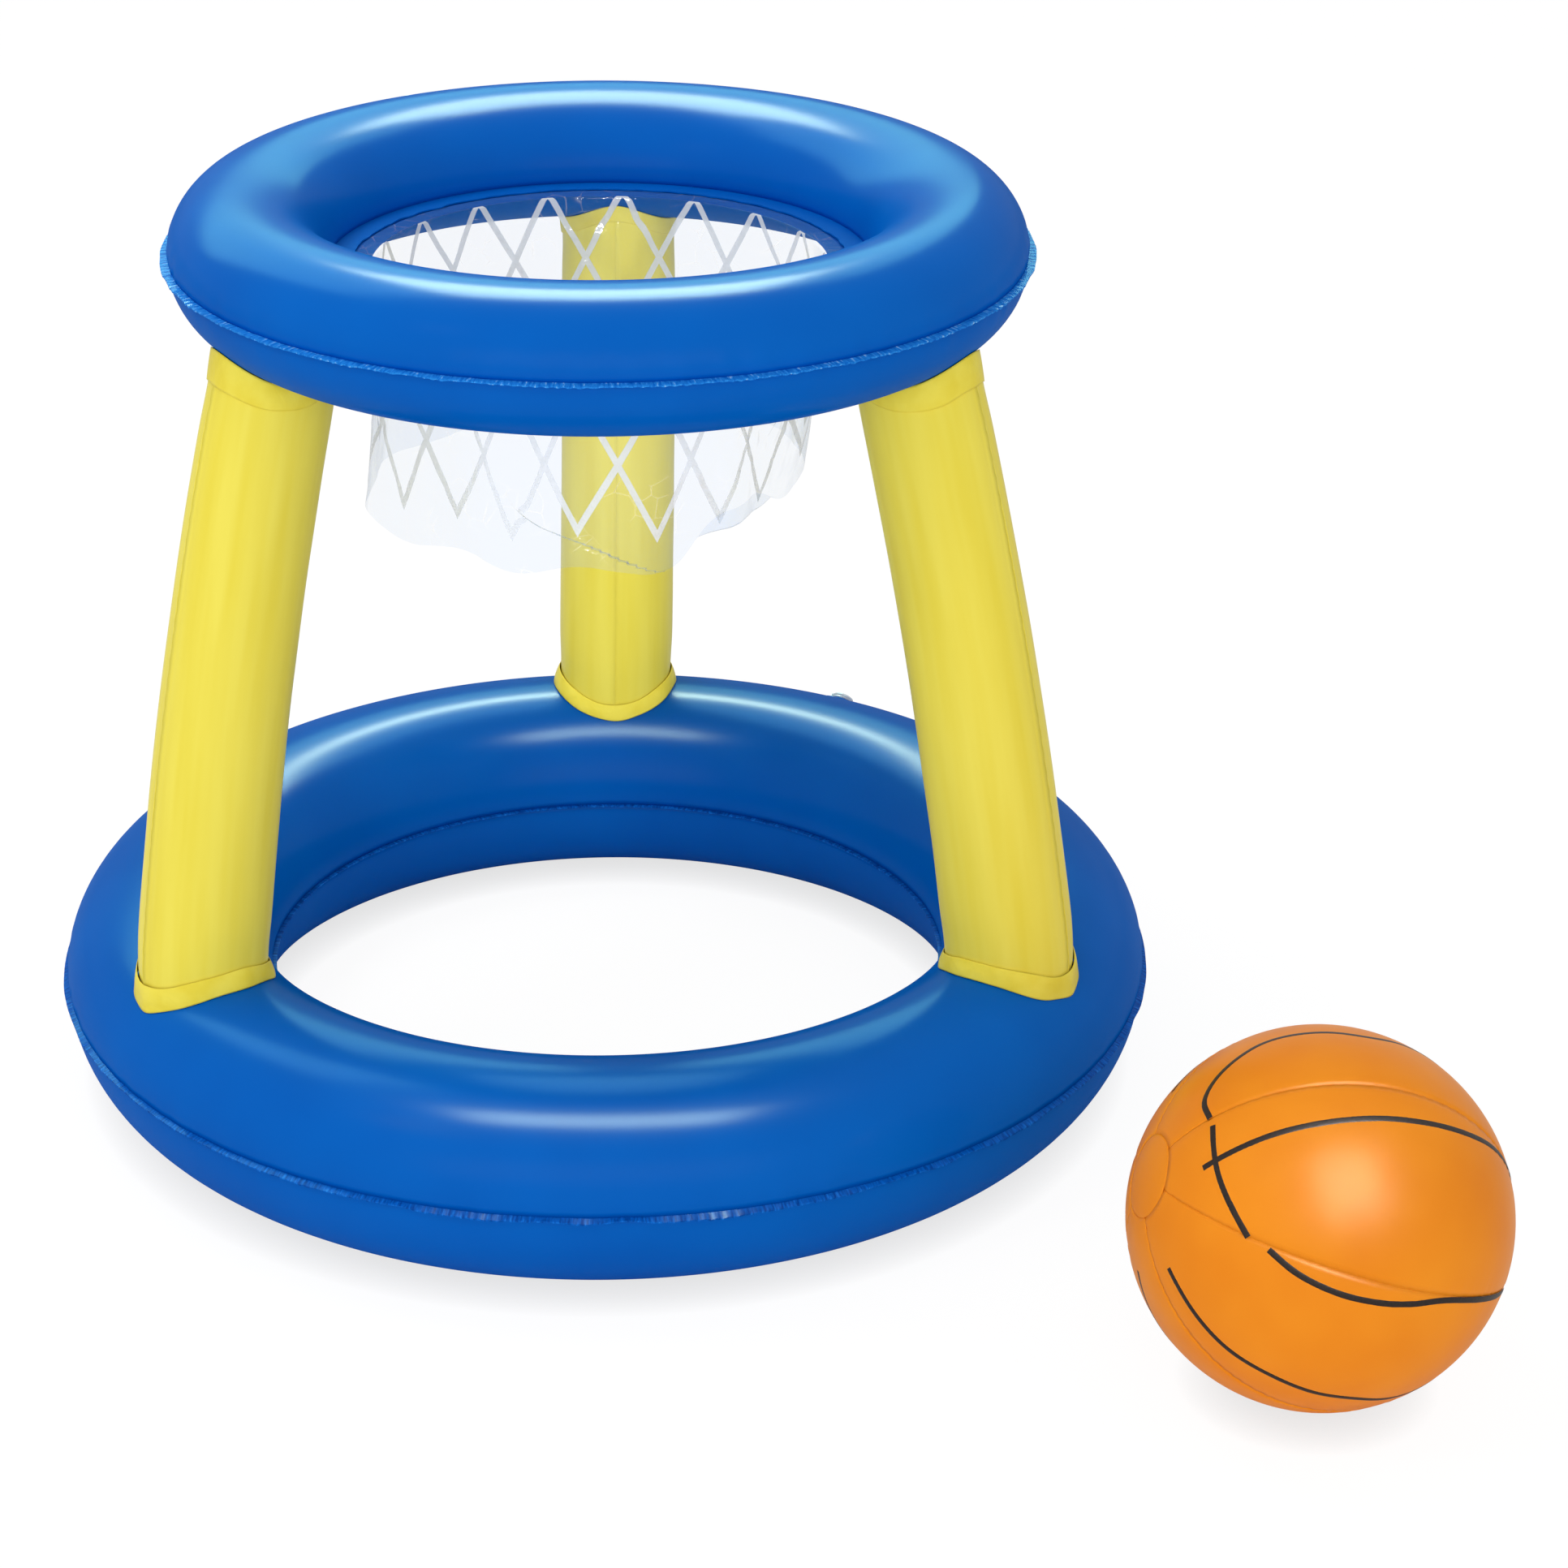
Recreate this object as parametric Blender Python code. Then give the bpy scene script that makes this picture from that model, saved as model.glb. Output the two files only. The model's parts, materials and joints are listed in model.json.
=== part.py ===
# A pool basketball hoop that floats: two inflated rings held apart by three inflated legs,
# a clear film net hanging in the upper ring, and an inflated ball beside it.
#
# Lengths are metres, +Z is up and the floor is z = 0. The camera side is -Y. The origin is
# the middle of the whole set's footprint. Every skin is a thin sheet of soft PVC, and sheets
# that are welded together are kept apart by the width of one weld gap.

import math
from dataclasses import dataclass

import bmesh
import bpy
from mathutils import Matrix, Vector


# Sheets and gaps
sheet_thickness = 0.0003
weld_gap = 0.0003
seat_gap = 0.0005
slope_step = 0.0001

# Base ring, lying on the floor
base_diameter = 0.590
base_tube_width = 0.111
base_tube_height = 0.111
base_outer_seam_height = 0.0590
base_inner_seam_height = 0.0545
base_outer_flange = 0.0022
base_inner_flange = 0.0015
base_rest_band = 0.020

# Top ring, the basket's rim
hoop_height = 0.494
top_crest_diameter = 0.3658
top_tube_height = 0.0722
top_outer_reach = 0.0361
top_inner_reach = 0.0449
top_outer_seam_drop = 0.0361
top_inner_seam_drop = 0.0442
top_outer_flange = 0.0032
top_inner_flange = 0.0120

# Legs: tubes that lean inwards, taper towards the top ring and bow out a little
leg_foot_diameter = 0.068
leg_head_diameter = 0.063
leg_foot_offset = 0.0029
leg_head_offset = 0.0020
leg_bow = 0.0050
# each leg's azimuths in degrees at its foot and its head, and which way its half panels face
legs = {
    "rear_leg": (89.0, 87.2, "left", "right"),
    "left_leg": (210.7, 208.1, "front", "rear"),
    "right_leg": (330.0, 329.3, "rear", "front"),
}
collar_width = 0.0040
collar_height = 0.0060
collar_thickness = 0.0008
collar_clearance = 0.0004
port_radius = 0.0040
port_depth = 0.010

# Net: a film sleeve under a flat welded rim
rim_width = 0.0130
rim_overlap = 0.0040
rim_thickness = 0.0004
film_inset = 0.0018
film_margin = 0.0080
film_length = 0.1300
film_side_rise = 0.0150
film_fold_depth = 0.0065
film_ripple_depth = 0.0025
film_fold_count = 9
film_fold_azimuth = -78
film_ripple_count = 5
film_ripple_azimuth = -20

# Valves
bore_radius = 0.0034
stem_radius = 0.0048
stem_length = 0.0120
stem_clearance = 0.0004
lip_radius = 0.0062
lip_thickness = 0.0012
tab_reach = 0.0069
hinge_reach = 0.0072
valve_flange_radius = 0.0120
valve_flange_thickness = 0.0008
boss_radius = 0.0070
boss_height = 0.0024
plug_clearance = 0.00045
plug_taper = 0.0005
plug_depth = 0.0030
cap_thickness = 0.0012
cap_dome = 0.0005
flap_clearance = 0.0004
flap_thickness = 0.0006
valve_cut_depth = 0.0080
base_valve_azimuth = 60
base_valve_tube_angle = 40
top_valve_azimuth = 120
top_valve_tube_angle = 35

# Ball
ball_radius = 0.0908
ball_right_of_hoop = 0.3351
ball_front_of_hoop = 0.3535
ball_pole_azimuth = 186.6
ball_pole_rise = 19.55
ball_cap_diameter = 0.040
ball_gore_count = 6
ball_gore_turn = 12

# Fineness
round_steps = 48
quarter_steps = 4
leg_rows = 7
leg_columns = 9
collar_steps = 28
film_steps = 60
film_rows = 8
valve_steps = 16
gore_rows = 12
gore_columns = 4
cap_turn_count = 18
cap_row_count = 2
search_steps = 40
sharp_angle = 40
tab_half_angle = 23
cap_dome_share = 0.8
pole_ring_share = 0.25
fold_growth = 1.5

# Shares of a leg's height between which its wall meets the base ring and the top ring
foot_search_shares = (0.3, -0.12)
head_search_shares = (0.7, 1.1)


@dataclass
class Ring:
    # The section of an inflated ring: heights of its crest, floor and welds, and how far
    # its wall and its weld flanges reach outwards and inwards from the crest's circle.
    crest_radius: float
    outer_reach: float
    inner_reach: float
    top: float
    bottom: float
    outer_seam: float
    inner_seam: float
    outer_flange: float
    inner_flange: float
    rest_band: float


base_ring = Ring(
    crest_radius=(base_diameter - base_tube_width) / 2,
    outer_reach=base_tube_width / 2,
    inner_reach=base_tube_width / 2,
    top=base_tube_height,
    bottom=0.0,
    outer_seam=base_outer_seam_height,
    inner_seam=base_inner_seam_height,
    outer_flange=base_outer_flange,
    inner_flange=base_inner_flange,
    rest_band=base_rest_band,
)

top_ring = Ring(
    crest_radius=top_crest_diameter / 2,
    outer_reach=top_outer_reach,
    inner_reach=top_inner_reach,
    top=hoop_height,
    bottom=hoop_height - top_tube_height,
    outer_seam=hoop_height - top_outer_seam_drop,
    inner_seam=hoop_height - top_inner_seam_drop,
    outer_flange=top_outer_flange,
    inner_flange=top_inner_flange,
    rest_band=0.0,
)

# The set's footprint is centred on the origin, so the hoop's axis stands off to one side.
hoop_edge = base_diameter / 2 + base_outer_flange
hoop_x = -(ball_right_of_hoop + ball_radius - hoop_edge) / 2
hoop_y = (ball_front_of_hoop + ball_radius - hoop_edge) / 2
ball_centre = Vector((hoop_x + ball_right_of_hoop, hoop_y - ball_front_of_hoop, ball_radius))


def make_material(name, colour, roughness, alpha=1.0):
    material = bpy.data.materials.new(name)
    material.use_nodes = True
    shader = material.node_tree.nodes["Principled BSDF"]
    shader.inputs["Base Color"].default_value = (*colour, 1.0)
    shader.inputs["Roughness"].default_value = roughness
    shader.inputs["Metallic"].default_value = 0.0
    shader.inputs["Alpha"].default_value = alpha
    return material


def blue_pvc(name):
    return make_material(name, (0.0, 0.10, 0.48), 0.30)


def yellow_pvc(name):
    return make_material(name, (0.80, 0.70, 0.10), 0.35)


def orange_pvc(name):
    return make_material(name, (0.86, 0.25, 0.02), 0.30)


def clear_pvc(name):
    return make_material(name, (0.90, 0.93, 0.96), 0.15, 0.35)


def add_object(name, mesh_data, material, origin=None):
    # Turns a finished bmesh, given in world coordinates, into an object with its own origin.
    bmesh.ops.recalc_face_normals(mesh_data, faces=mesh_data.faces)
    mesh = bpy.data.meshes.new(name)
    mesh_data.to_mesh(mesh)
    mesh_data.free()
    place = origin or Matrix.Translation((hoop_x, hoop_y, 0.0))
    mesh.transform(place.inverted())
    mesh.shade_smooth()
    mesh.set_sharp_from_angle(angle=math.radians(sharp_angle))
    mesh.materials.append(material)
    item = bpy.data.objects.new(name, mesh)
    item.matrix_world = place
    bpy.context.collection.objects.link(item)
    return item


def skin(loops, ends, fold=None):
    # Joins loops of equally many points into one closed solid. Its ends are joined to each
    # other, closed by one face each, or, for the section of a thin sheet, by a strip. Where
    # the sheet twists, its faces are split into triangles, and those past the point numbered
    # fold, on its other side, the other way round, so that both sides bend along one line.
    solid = bmesh.new()
    rows = [[solid.verts.new(point) for point in loop] for loop in loops]
    count = len(rows[0])
    pairs = list(zip(rows, rows[1:]))
    if ends == "join":
        pairs.append((rows[-1], rows[0]))
    for first, second in pairs:
        for i in range(count):
            j = (i + 1) % count
            corners = [first[i], first[j], second[j], second[i]]
            if fold is None:
                solid.faces.new(corners)
                continue
            if i >= fold:
                corners.append(corners.pop(0))
            solid.faces.new(corners[:3])
            solid.faces.new(corners[2:] + corners[:1])
    if ends == "face":
        solid.faces.new(rows[0])
        solid.faces.new(rows[-1])
    if ends == "strip":
        for row in (rows[0], rows[-1]):
            for i in range(count // 2 - 1):
                solid.faces.new((row[i], row[i + 1], row[count - 2 - i], row[count - 1 - i]))
    return solid


def shares(steps):
    return [i / steps for i in range(steps + 1)]


def turns(steps):
    return [math.tau * i / steps for i in range(steps)]


def about_hoop(radius, azimuth, height):
    return Vector((hoop_x + radius * math.cos(azimuth), hoop_y + radius * math.sin(azimuth), height))


def quadrant(ring, upper, outer, shrink):
    # One quarter of the section is a quarter ellipse: its centre height, reach and height.
    side = 1 if upper else -1
    seam = ring.outer_seam if outer else ring.inner_seam
    reach = (ring.outer_reach if outer else ring.inner_reach) - shrink
    centre = seam + side * weld_gap / 2
    crest = ring.top if upper else ring.bottom
    height = abs(crest - centre) - shrink
    if not upper:
        height = height / math.sin(math.acos(ring.rest_band / 2 / reach))
    return centre, reach, height


def wall_points(ring, upper, shrink):
    # The wall from the outer weld over the crest to the inner weld. The lower wall of a ring
    # that rests on the floor has a flat band in place of its lowest point.
    side = 1 if upper else -1
    flat = ring.rest_band > 0 and not upper
    points = []
    for outer in (True, False):
        centre, reach, height = quadrant(ring, upper, outer, shrink)
        first = 0.0 if shrink else math.asin(sheet_thickness / height)
        last = math.acos(ring.rest_band / 2 / reach) if flat else math.pi / 2
        arc = []
        for share in shares(quarter_steps):
            angle = first + (last - first) * share
            across = reach * math.cos(angle) * (1 if outer else -1)
            arc.append((ring.crest_radius + across, centre + side * height * math.sin(angle)))
        if not outer:
            arc.reverse()
        points += arc if outer or flat else arc[1:]
    return points


def sheet_section(ring, upper):
    side = 1 if upper else -1
    outer_weld = ring.outer_seam + side * weld_gap / 2
    inner_weld = ring.inner_seam + side * weld_gap / 2
    outer_edge = ring.crest_radius + ring.outer_reach + ring.outer_flange
    inner_edge = ring.crest_radius - ring.inner_reach - ring.inner_flange
    section = [(outer_edge, outer_weld + side * sheet_thickness)]
    section += wall_points(ring, upper, 0.0)
    section.append((inner_edge, inner_weld + side * sheet_thickness))
    section.append((inner_edge, inner_weld))
    section += reversed(wall_points(ring, upper, sheet_thickness))
    section.append((outer_edge, outer_weld))
    return section


def ring_sheet(name, ring, upper):
    section = sheet_section(ring, upper)
    loops = [[about_hoop(r, azimuth, z) for r, z in section] for azimuth in turns(round_steps)]
    return add_object(name, skin(loops, "join"), blue_pvc(name))


def ring_surface(ring, grow):
    # Negative inside the ring's tube grown by a gap, positive outside it.
    def level(point):
        radius = math.hypot(point.x - hoop_x, point.y - hoop_y)
        outer = radius > ring.crest_radius
        upper = point.z > (ring.outer_seam if outer else ring.inner_seam)
        centre, reach, height = quadrant(ring, upper, outer, -grow)
        across = (radius - ring.crest_radius) / reach
        return across ** 2 + ((point.z - centre) / height) ** 2 - 1

    return level


def ball_surface(grow):
    def level(point):
        return (point - ball_centre).length / (ball_radius + grow) - 1

    return level


def crossing(surface, point_at, outside, inside):
    # How far along the path point_at, walked from outside to inside, the surface lies.
    for _ in range(search_steps):
        middle = (outside + inside) / 2
        if surface(point_at(middle)) > 0:
            outside = middle
        else:
            inside = middle
    return outside


def seat(surface, point_at, outside, inside):
    return point_at(crossing(surface, point_at, outside, inside))


def normal_of(surface, point):
    steps = [Vector((slope_step, 0, 0)), Vector((0, slope_step, 0)), Vector((0, 0, slope_step))]
    return Vector([surface(point + step) - surface(point - step) for step in steps]).normalized()


def leg_point(lean, share, turn, grow):
    # A point on the leg's wall grown by a gap, turned from the side that faces away from the
    # hoop. The lean holds the azimuths of the leg's foot and head.
    azimuth = lean[0] + (lean[1] - lean[0]) * share
    radius = (leg_foot_diameter + (leg_head_diameter - leg_foot_diameter) * share) / 2 + grow
    foot = base_ring.crest_radius + leg_foot_offset
    head = top_ring.crest_radius - leg_head_offset
    rise = top_ring.bottom - base_ring.top
    along = foot + (head - foot) * share + 4 * leg_bow * share * (1 - share)
    slope = (head - foot) + 4 * leg_bow * (1 - 2 * share)
    radial = Vector((math.cos(azimuth), math.sin(azimuth), 0))
    side = Vector((-math.sin(azimuth), math.cos(azimuth), 0))
    outward = (radial * rise - Vector((0, 0, slope))).normalized()
    centre = about_hoop(along, azimuth, base_ring.top + rise * share)
    return centre + radius * (math.cos(turn) * outward + math.sin(turn) * side)


def leg_end(lean, turn, grow, at_foot):
    # The share of the leg's height at which its wall meets the ring, one seat gap off it.
    surface = ring_surface(base_ring if at_foot else top_ring, seat_gap)
    path = lambda share: leg_point(lean, share, turn, grow)
    return crossing(surface, path, *(foot_search_shares if at_foot else head_search_shares))


def leg_panel(name, lean, first_turn):
    # Half of a leg's tube, from one lengthwise weld to the other.
    inset = math.asin(weld_gap / leg_head_diameter)
    angles = [first_turn + inset + (math.pi - 2 * inset) * share for share in shares(leg_columns)]
    walls = [(0.0, angle) for angle in angles]
    walls += [(-sheet_thickness, angle) for angle in reversed(angles)]
    lows = [leg_end(lean, angle, grow, True) for grow, angle in walls]
    highs = [leg_end(lean, angle, grow, False) for grow, angle in walls]
    loops = []
    for share in shares(leg_rows):
        loop = []
        for (grow, angle), low, high in zip(walls, lows, highs):
            loop.append(leg_point(lean, low + (high - low) * share, angle, grow))
        loops.append(loop)
    return add_object(name, skin(loops, "strip"), yellow_pvc(name))


def leg_collar(name, lean, at_foot):
    # The flared weld round a leg's end: it lies on the ring and runs a little way up the leg.
    surface = ring_surface(base_ring if at_foot else top_ring, seat_gap)
    length = top_ring.bottom - base_ring.top
    climb = (collar_height if at_foot else -collar_height) / length
    loops = []
    for turn in turns(collar_steps):
        low = leg_end(lean, turn, collar_clearance, at_foot)
        inner = leg_point(lean, low, turn, collar_clearance)
        away = leg_point(lean, low, turn, collar_clearance + collar_width) - inner
        normal = normal_of(surface, inner)
        along = (away - normal * away.dot(normal)).normalized() * collar_width
        outer = seat(surface, lambda drop: inner + along - normal * drop, -collar_width, collar_width)
        loops.append([
            inner,
            outer,
            outer + normal_of(surface, outer) * collar_thickness,
            leg_point(lean, low + climb, turn, collar_clearance + collar_thickness),
            leg_point(lean, low + climb, turn, collar_clearance),
        ])
    return add_object(name, skin(loops, "join"), yellow_pvc(name))


def rim_levels():
    # Heights of the rim flange's two faces and of the film's top, stacked under the ring's weld.
    top = top_ring.inner_seam - weld_gap / 2 - sheet_thickness - weld_gap
    bottom = top - rim_thickness
    return top, bottom, bottom - weld_gap


def rim_radii():
    # The rim flange laps under the edge of the ring's inner weld flange.
    outer = top_ring.crest_radius - top_ring.inner_reach - top_ring.inner_flange + rim_overlap
    return outer - rim_width, outer


def net_rim():
    top, bottom, _ = rim_levels()
    inner, outer = rim_radii()
    section = [(inner, bottom), (outer, bottom), (outer, top), (inner, top)]
    loops = [[about_hoop(r, azimuth, z) for r, z in section] for azimuth in turns(round_steps)]
    return add_object("net_rim_flange", skin(loops, "join"), blue_pvc("net_rim_flange"))


def film_radius(azimuth, share):
    # The sleeve is round at the rim and waves in and out more and more towards its hem.
    folds = math.cos(film_fold_count * (azimuth - math.radians(film_fold_azimuth)))
    ripples = math.cos(film_ripple_count * (azimuth - math.radians(film_ripple_azimuth)))
    growth = share ** fold_growth
    wave = film_fold_depth * folds + film_ripple_depth * ripples
    return rim_radii()[0] - film_inset + growth * wave


def film_height(azimuth, share):
    # The hem hangs lowest at the front and the back.
    length = film_length - film_side_rise * math.cos(azimuth) ** 2
    return rim_levels()[2] - length * share


def net_film():
    top = rim_levels()[2]
    margin = rim_radii()[0] + film_margin
    half = sheet_thickness / 2
    loops = []
    for azimuth in turns(film_steps):
        loop = [about_hoop(margin, azimuth, top), about_hoop(margin, azimuth, top - sheet_thickness)]
        outside = []
        inside = []
        for share in shares(film_rows):
            radius = film_radius(azimuth, share)
            height = film_height(azimuth, share)
            outside.append(about_hoop(radius + half, azimuth, height))
            inside.append(about_hoop(radius - half, azimuth, height))
        outside[0].z = top - sheet_thickness
        loops.append(loop + outside + inside[::-1])
    fold = len(loop) + len(outside)
    return add_object("net_sleeve", skin(loops, "join", fold), clear_pvc("net_sleeve"))


def frame_on(surface, point, sideways):
    # A valve's own axes: Z out of the skin, X along sideways, the origin on the skin.
    up = normal_of(surface, point)
    across = (sideways - up * sideways.dot(up)).normalized()
    frame = Matrix((across, up.cross(across), up)).transposed().to_4x4()
    return Matrix.Translation(point) @ frame


def ring_valve_frame(ring, azimuth_degrees, tube_degrees):
    azimuth = math.radians(azimuth_degrees)
    angle = math.radians(tube_degrees)
    centre, reach, height = quadrant(ring, True, True, 0.0)
    radius = ring.crest_radius + reach * math.cos(angle)
    point = about_hoop(radius, azimuth, centre + height * math.sin(angle))
    sideways = Vector((-math.sin(azimuth), math.cos(azimuth), 0))
    return frame_on(ring_surface(ring, 0.0), point, sideways)


def ball_pole():
    azimuth = math.radians(ball_pole_azimuth)
    rise = math.radians(ball_pole_rise)
    level = math.cos(rise)
    return Vector((level * math.cos(azimuth), level * math.sin(azimuth), math.sin(rise)))


def ball_frame():
    # The ball's axes: Z along the pole that faces the camera, X level.
    pole = ball_pole()
    level = pole.cross(Vector((0, 0, 1))).normalized()
    frame = Matrix((level, pole.cross(level), pole)).transposed().to_4x4()
    return Matrix.Translation(ball_centre) @ frame


def ball_valve_frame():
    pole = -ball_pole()
    return frame_on(ball_surface(0.0), ball_centre + pole * ball_radius, Vector((0, 0, 1)))


def valve_loop(frame, radius, height, tabbed=False):
    # A level circle about the valve's axis. A tabbed one reaches out flat on its hinge side.
    loop = []
    for turn in turns(valve_steps):
        signed = (turn + math.pi) % math.tau - math.pi
        distance = radius
        if tabbed and abs(signed) <= math.radians(tab_half_angle):
            distance = tab_reach / math.cos(signed)
        loop.append(frame @ Vector((distance * math.cos(turn), distance * math.sin(turn), height)))
    return loop


def lip_bottom():
    return boss_height + weld_gap


def lip_top():
    return lip_bottom() + lip_thickness


def stem_end():
    return lip_bottom() - stem_length


def valve_flange(name, frame, surface, material):
    # A round flange that follows the skin, with a flat-topped boss round the stem.
    bore = stem_radius + stem_clearance
    reach = valve_flange_radius
    loops = []
    for turn in turns(valve_steps):
        outward = Vector((math.cos(turn), math.sin(turn), 0))

        def on_skin(radius):
            path = lambda drop: frame @ (outward * radius - Vector((0, 0, drop)))
            return frame.inverted() @ seat(surface, path, -reach, reach)

        lift = Vector((0, 0, valve_flange_thickness))
        section = [
            on_skin(bore),
            on_skin(reach),
            on_skin(reach) + lift,
            on_skin(boss_radius) + lift,
            outward * boss_radius + Vector((0, 0, boss_height)),
            outward * bore + Vector((0, 0, boss_height)),
        ]
        loops.append([frame @ point for point in section])
    return add_object(name, skin(loops, "join"), material, frame)


def valve_stem(name, frame, material):
    loops = [
        valve_loop(frame, bore_radius, lip_top()),
        valve_loop(frame, lip_radius, lip_top(), tabbed=True),
        valve_loop(frame, lip_radius, lip_bottom(), tabbed=True),
        valve_loop(frame, stem_radius, lip_bottom()),
        valve_loop(frame, stem_radius, stem_end()),
        valve_loop(frame, bore_radius, stem_end()),
    ]
    return add_object(name, skin(loops, "join"), material, frame)


def valve_cap(name, frame, material):
    # The plug cap lies on the stem's lip. Its origin is on the strap's bend.
    low = lip_top() + weld_gap
    high = low + cap_thickness
    plug = bore_radius - plug_clearance
    loops = [
        valve_loop(frame, plug - plug_taper, lip_top() - plug_depth),
        valve_loop(frame, plug, low),
        valve_loop(frame, lip_radius, low, tabbed=True),
        valve_loop(frame, lip_radius, high, tabbed=True),
        valve_loop(frame, lip_radius * cap_dome_share, high + cap_dome),
    ]
    bend = frame @ Matrix.Translation((hinge_reach, 0, lip_top() + weld_gap / 2))
    return add_object(name, skin(loops, "face"), material, bend)


def valve_flap(name, frame, material):
    # The check flap under the stem, inside the chamber. Its origin is on its bend.
    high = stem_end() - weld_gap
    radius = stem_radius - flap_clearance
    loops = [valve_loop(frame, radius, high), valve_loop(frame, radius, high - flap_thickness)]
    bend = frame @ Matrix.Translation((stem_radius, 0, stem_end() - weld_gap / 2))
    return add_object(name, skin(loops, "face"), material, bend)


def valve(prefix, frame, surface, paint):
    return [
        valve_flange(prefix + "_valve_flange", frame, surface, paint(prefix + "_valve_flange")),
        valve_stem(prefix + "_valve_stem", frame, clear_pvc(prefix + "_valve_stem")),
        valve_cap(prefix + "_valve_cap", frame, clear_pvc(prefix + "_valve_cap")),
        valve_flap(prefix + "_valve_flap", frame, clear_pvc(prefix + "_valve_flap")),
    ]


def cutter(name, posts):
    # Upright posts that bore holes in a sheet. Each is a frame, a radius and two heights.
    solid = bmesh.new()
    for frame, radius, low, high in posts:
        middle = Matrix.Translation((0, 0, (low + high) / 2))
        bmesh.ops.create_cone(
            solid, cap_ends=True, segments=valve_steps, radius1=radius, radius2=radius,
            depth=high - low, matrix=frame @ middle)
    item = add_object(name, solid, make_material(name, (0.5, 0.5, 0.5), 0.5))
    item.hide_render = True
    item.display_type = "WIRE"
    return item


def bore(item, tool):
    cut = item.modifiers.new("holes", "BOOLEAN")
    cut.operation = "DIFFERENCE"
    cut.object = tool


def ball_point(polar, longitude, radius):
    across = radius * math.sin(polar)
    local = Vector((across * math.cos(longitude), across * math.sin(longitude), radius * math.cos(polar)))
    return ball_frame() @ local


def ball_cap_angle():
    return math.asin(ball_cap_diameter / 2 / ball_radius)


def ball_gore(index):
    # One of the ball's lengthwise skins, from one end cap to the other.
    name = "ball_gore_" + str(index + 1)
    gap = weld_gap / ball_radius
    edge = ball_cap_angle() + gap
    width = math.tau / ball_gore_count
    start = math.radians(ball_gore_turn) + width * index
    columns = []
    for share in shares(gore_columns):
        columns.append((start + width * share, (0.5 - share) * gap))
    loops = []
    for row in shares(gore_rows):
        polar = edge + (math.pi - 2 * edge) * row
        longitudes = [angle + inset / math.sin(polar) for angle, inset in columns]
        loop = [ball_point(polar, longitude, ball_radius) for longitude in longitudes]
        inner = [ball_point(polar, longitude, ball_radius - sheet_thickness) for longitude in longitudes]
        loops.append(loop + inner[::-1])
    return add_object(name, skin(loops, "strip"), orange_pvc(name), ball_frame())


def ball_cap(name, at_front):
    # A round end cap. The one that faces away has a hole for the valve's stem.
    hole = math.asin((stem_radius + stem_clearance) / ball_radius)
    first = ball_cap_angle() * pole_ring_share if at_front else hole
    angles = [first + (ball_cap_angle() - first) * share for share in shares(cap_row_count)]
    rings = [(angle, ball_radius) for angle in angles]
    rings += [(angle, ball_radius - sheet_thickness) for angle in reversed(angles)]
    loops = []
    for angle, radius in rings:
        polar = angle if at_front else math.pi - angle
        loops.append([ball_point(polar, turn, radius) for turn in turns(cap_turn_count)])
    return add_object(name, skin(loops, "face" if at_front else "join"), orange_pvc(name), ball_frame())


def build_rings():
    base_upper = ring_sheet("base_ring_upper_sheet", base_ring, True)
    ring_sheet("base_ring_lower_sheet", base_ring, False)
    top_upper = ring_sheet("top_ring_upper_sheet", top_ring, True)
    ring_sheet("top_ring_lower_sheet", top_ring, False)
    return base_upper, top_upper


def build_legs():
    for name, (foot_degrees, head_degrees, first_side, second_side) in legs.items():
        lean = (math.radians(foot_degrees), math.radians(head_degrees))
        leg_panel(name + "_" + first_side + "_panel", lean, 0.0)
        leg_panel(name + "_" + second_side + "_panel", lean, math.pi)
        leg_collar(name + "_foot_flange", lean, True)
        leg_collar(name + "_head_flange", lean, False)


def port_posts():
    # The legs take their air from the base ring through a hole under each foot.
    posts = []
    for foot_degrees, *_ in legs.values():
        along = base_ring.crest_radius + leg_foot_offset
        foot = about_hoop(along, math.radians(foot_degrees), base_ring.top)
        posts.append((Matrix.Translation(foot), port_radius, -port_depth, port_depth))
    return posts


def valve_post(frame):
    return (frame, stem_radius + stem_clearance, -valve_cut_depth, valve_cut_depth)


def build_hoop():
    base_upper, top_upper = build_rings()
    build_legs()
    net_rim()
    net_film()
    base_frame = ring_valve_frame(base_ring, base_valve_azimuth, base_valve_tube_angle)
    top_frame = ring_valve_frame(top_ring, top_valve_azimuth, top_valve_tube_angle)
    valve("base_ring", base_frame, ring_surface(base_ring, seat_gap), blue_pvc)
    valve("top_ring", top_frame, ring_surface(top_ring, seat_gap), blue_pvc)
    bore(base_upper, cutter("base_ring_hole_cutter", port_posts() + [valve_post(base_frame)]))
    bore(top_upper, cutter("top_ring_hole_cutter", [valve_post(top_frame)]))


def build_ball():
    parts = [ball_gore(index) for index in range(ball_gore_count)]
    parts.append(ball_cap("ball_front_cap", True))
    parts.append(ball_cap("ball_valve_end_cap", False))
    parts += valve("ball", ball_valve_frame(), ball_surface(seat_gap), orange_pvc)
    middle = bpy.data.objects.new("ball_middle", None)
    middle.location = ball_centre
    bpy.context.collection.objects.link(middle)
    bpy.context.view_layer.update()
    for part in parts:
        part.parent = middle
        part.matrix_parent_inverse = middle.matrix_world.inverted()


def build():
    for item in list(bpy.data.objects):
        bpy.data.objects.remove(item, do_unlink=True)
    build_hoop()
    build_ball()


build()
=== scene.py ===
import json
import math

import bmesh
import bpy
from mathutils import Matrix, Vector, noise

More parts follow.
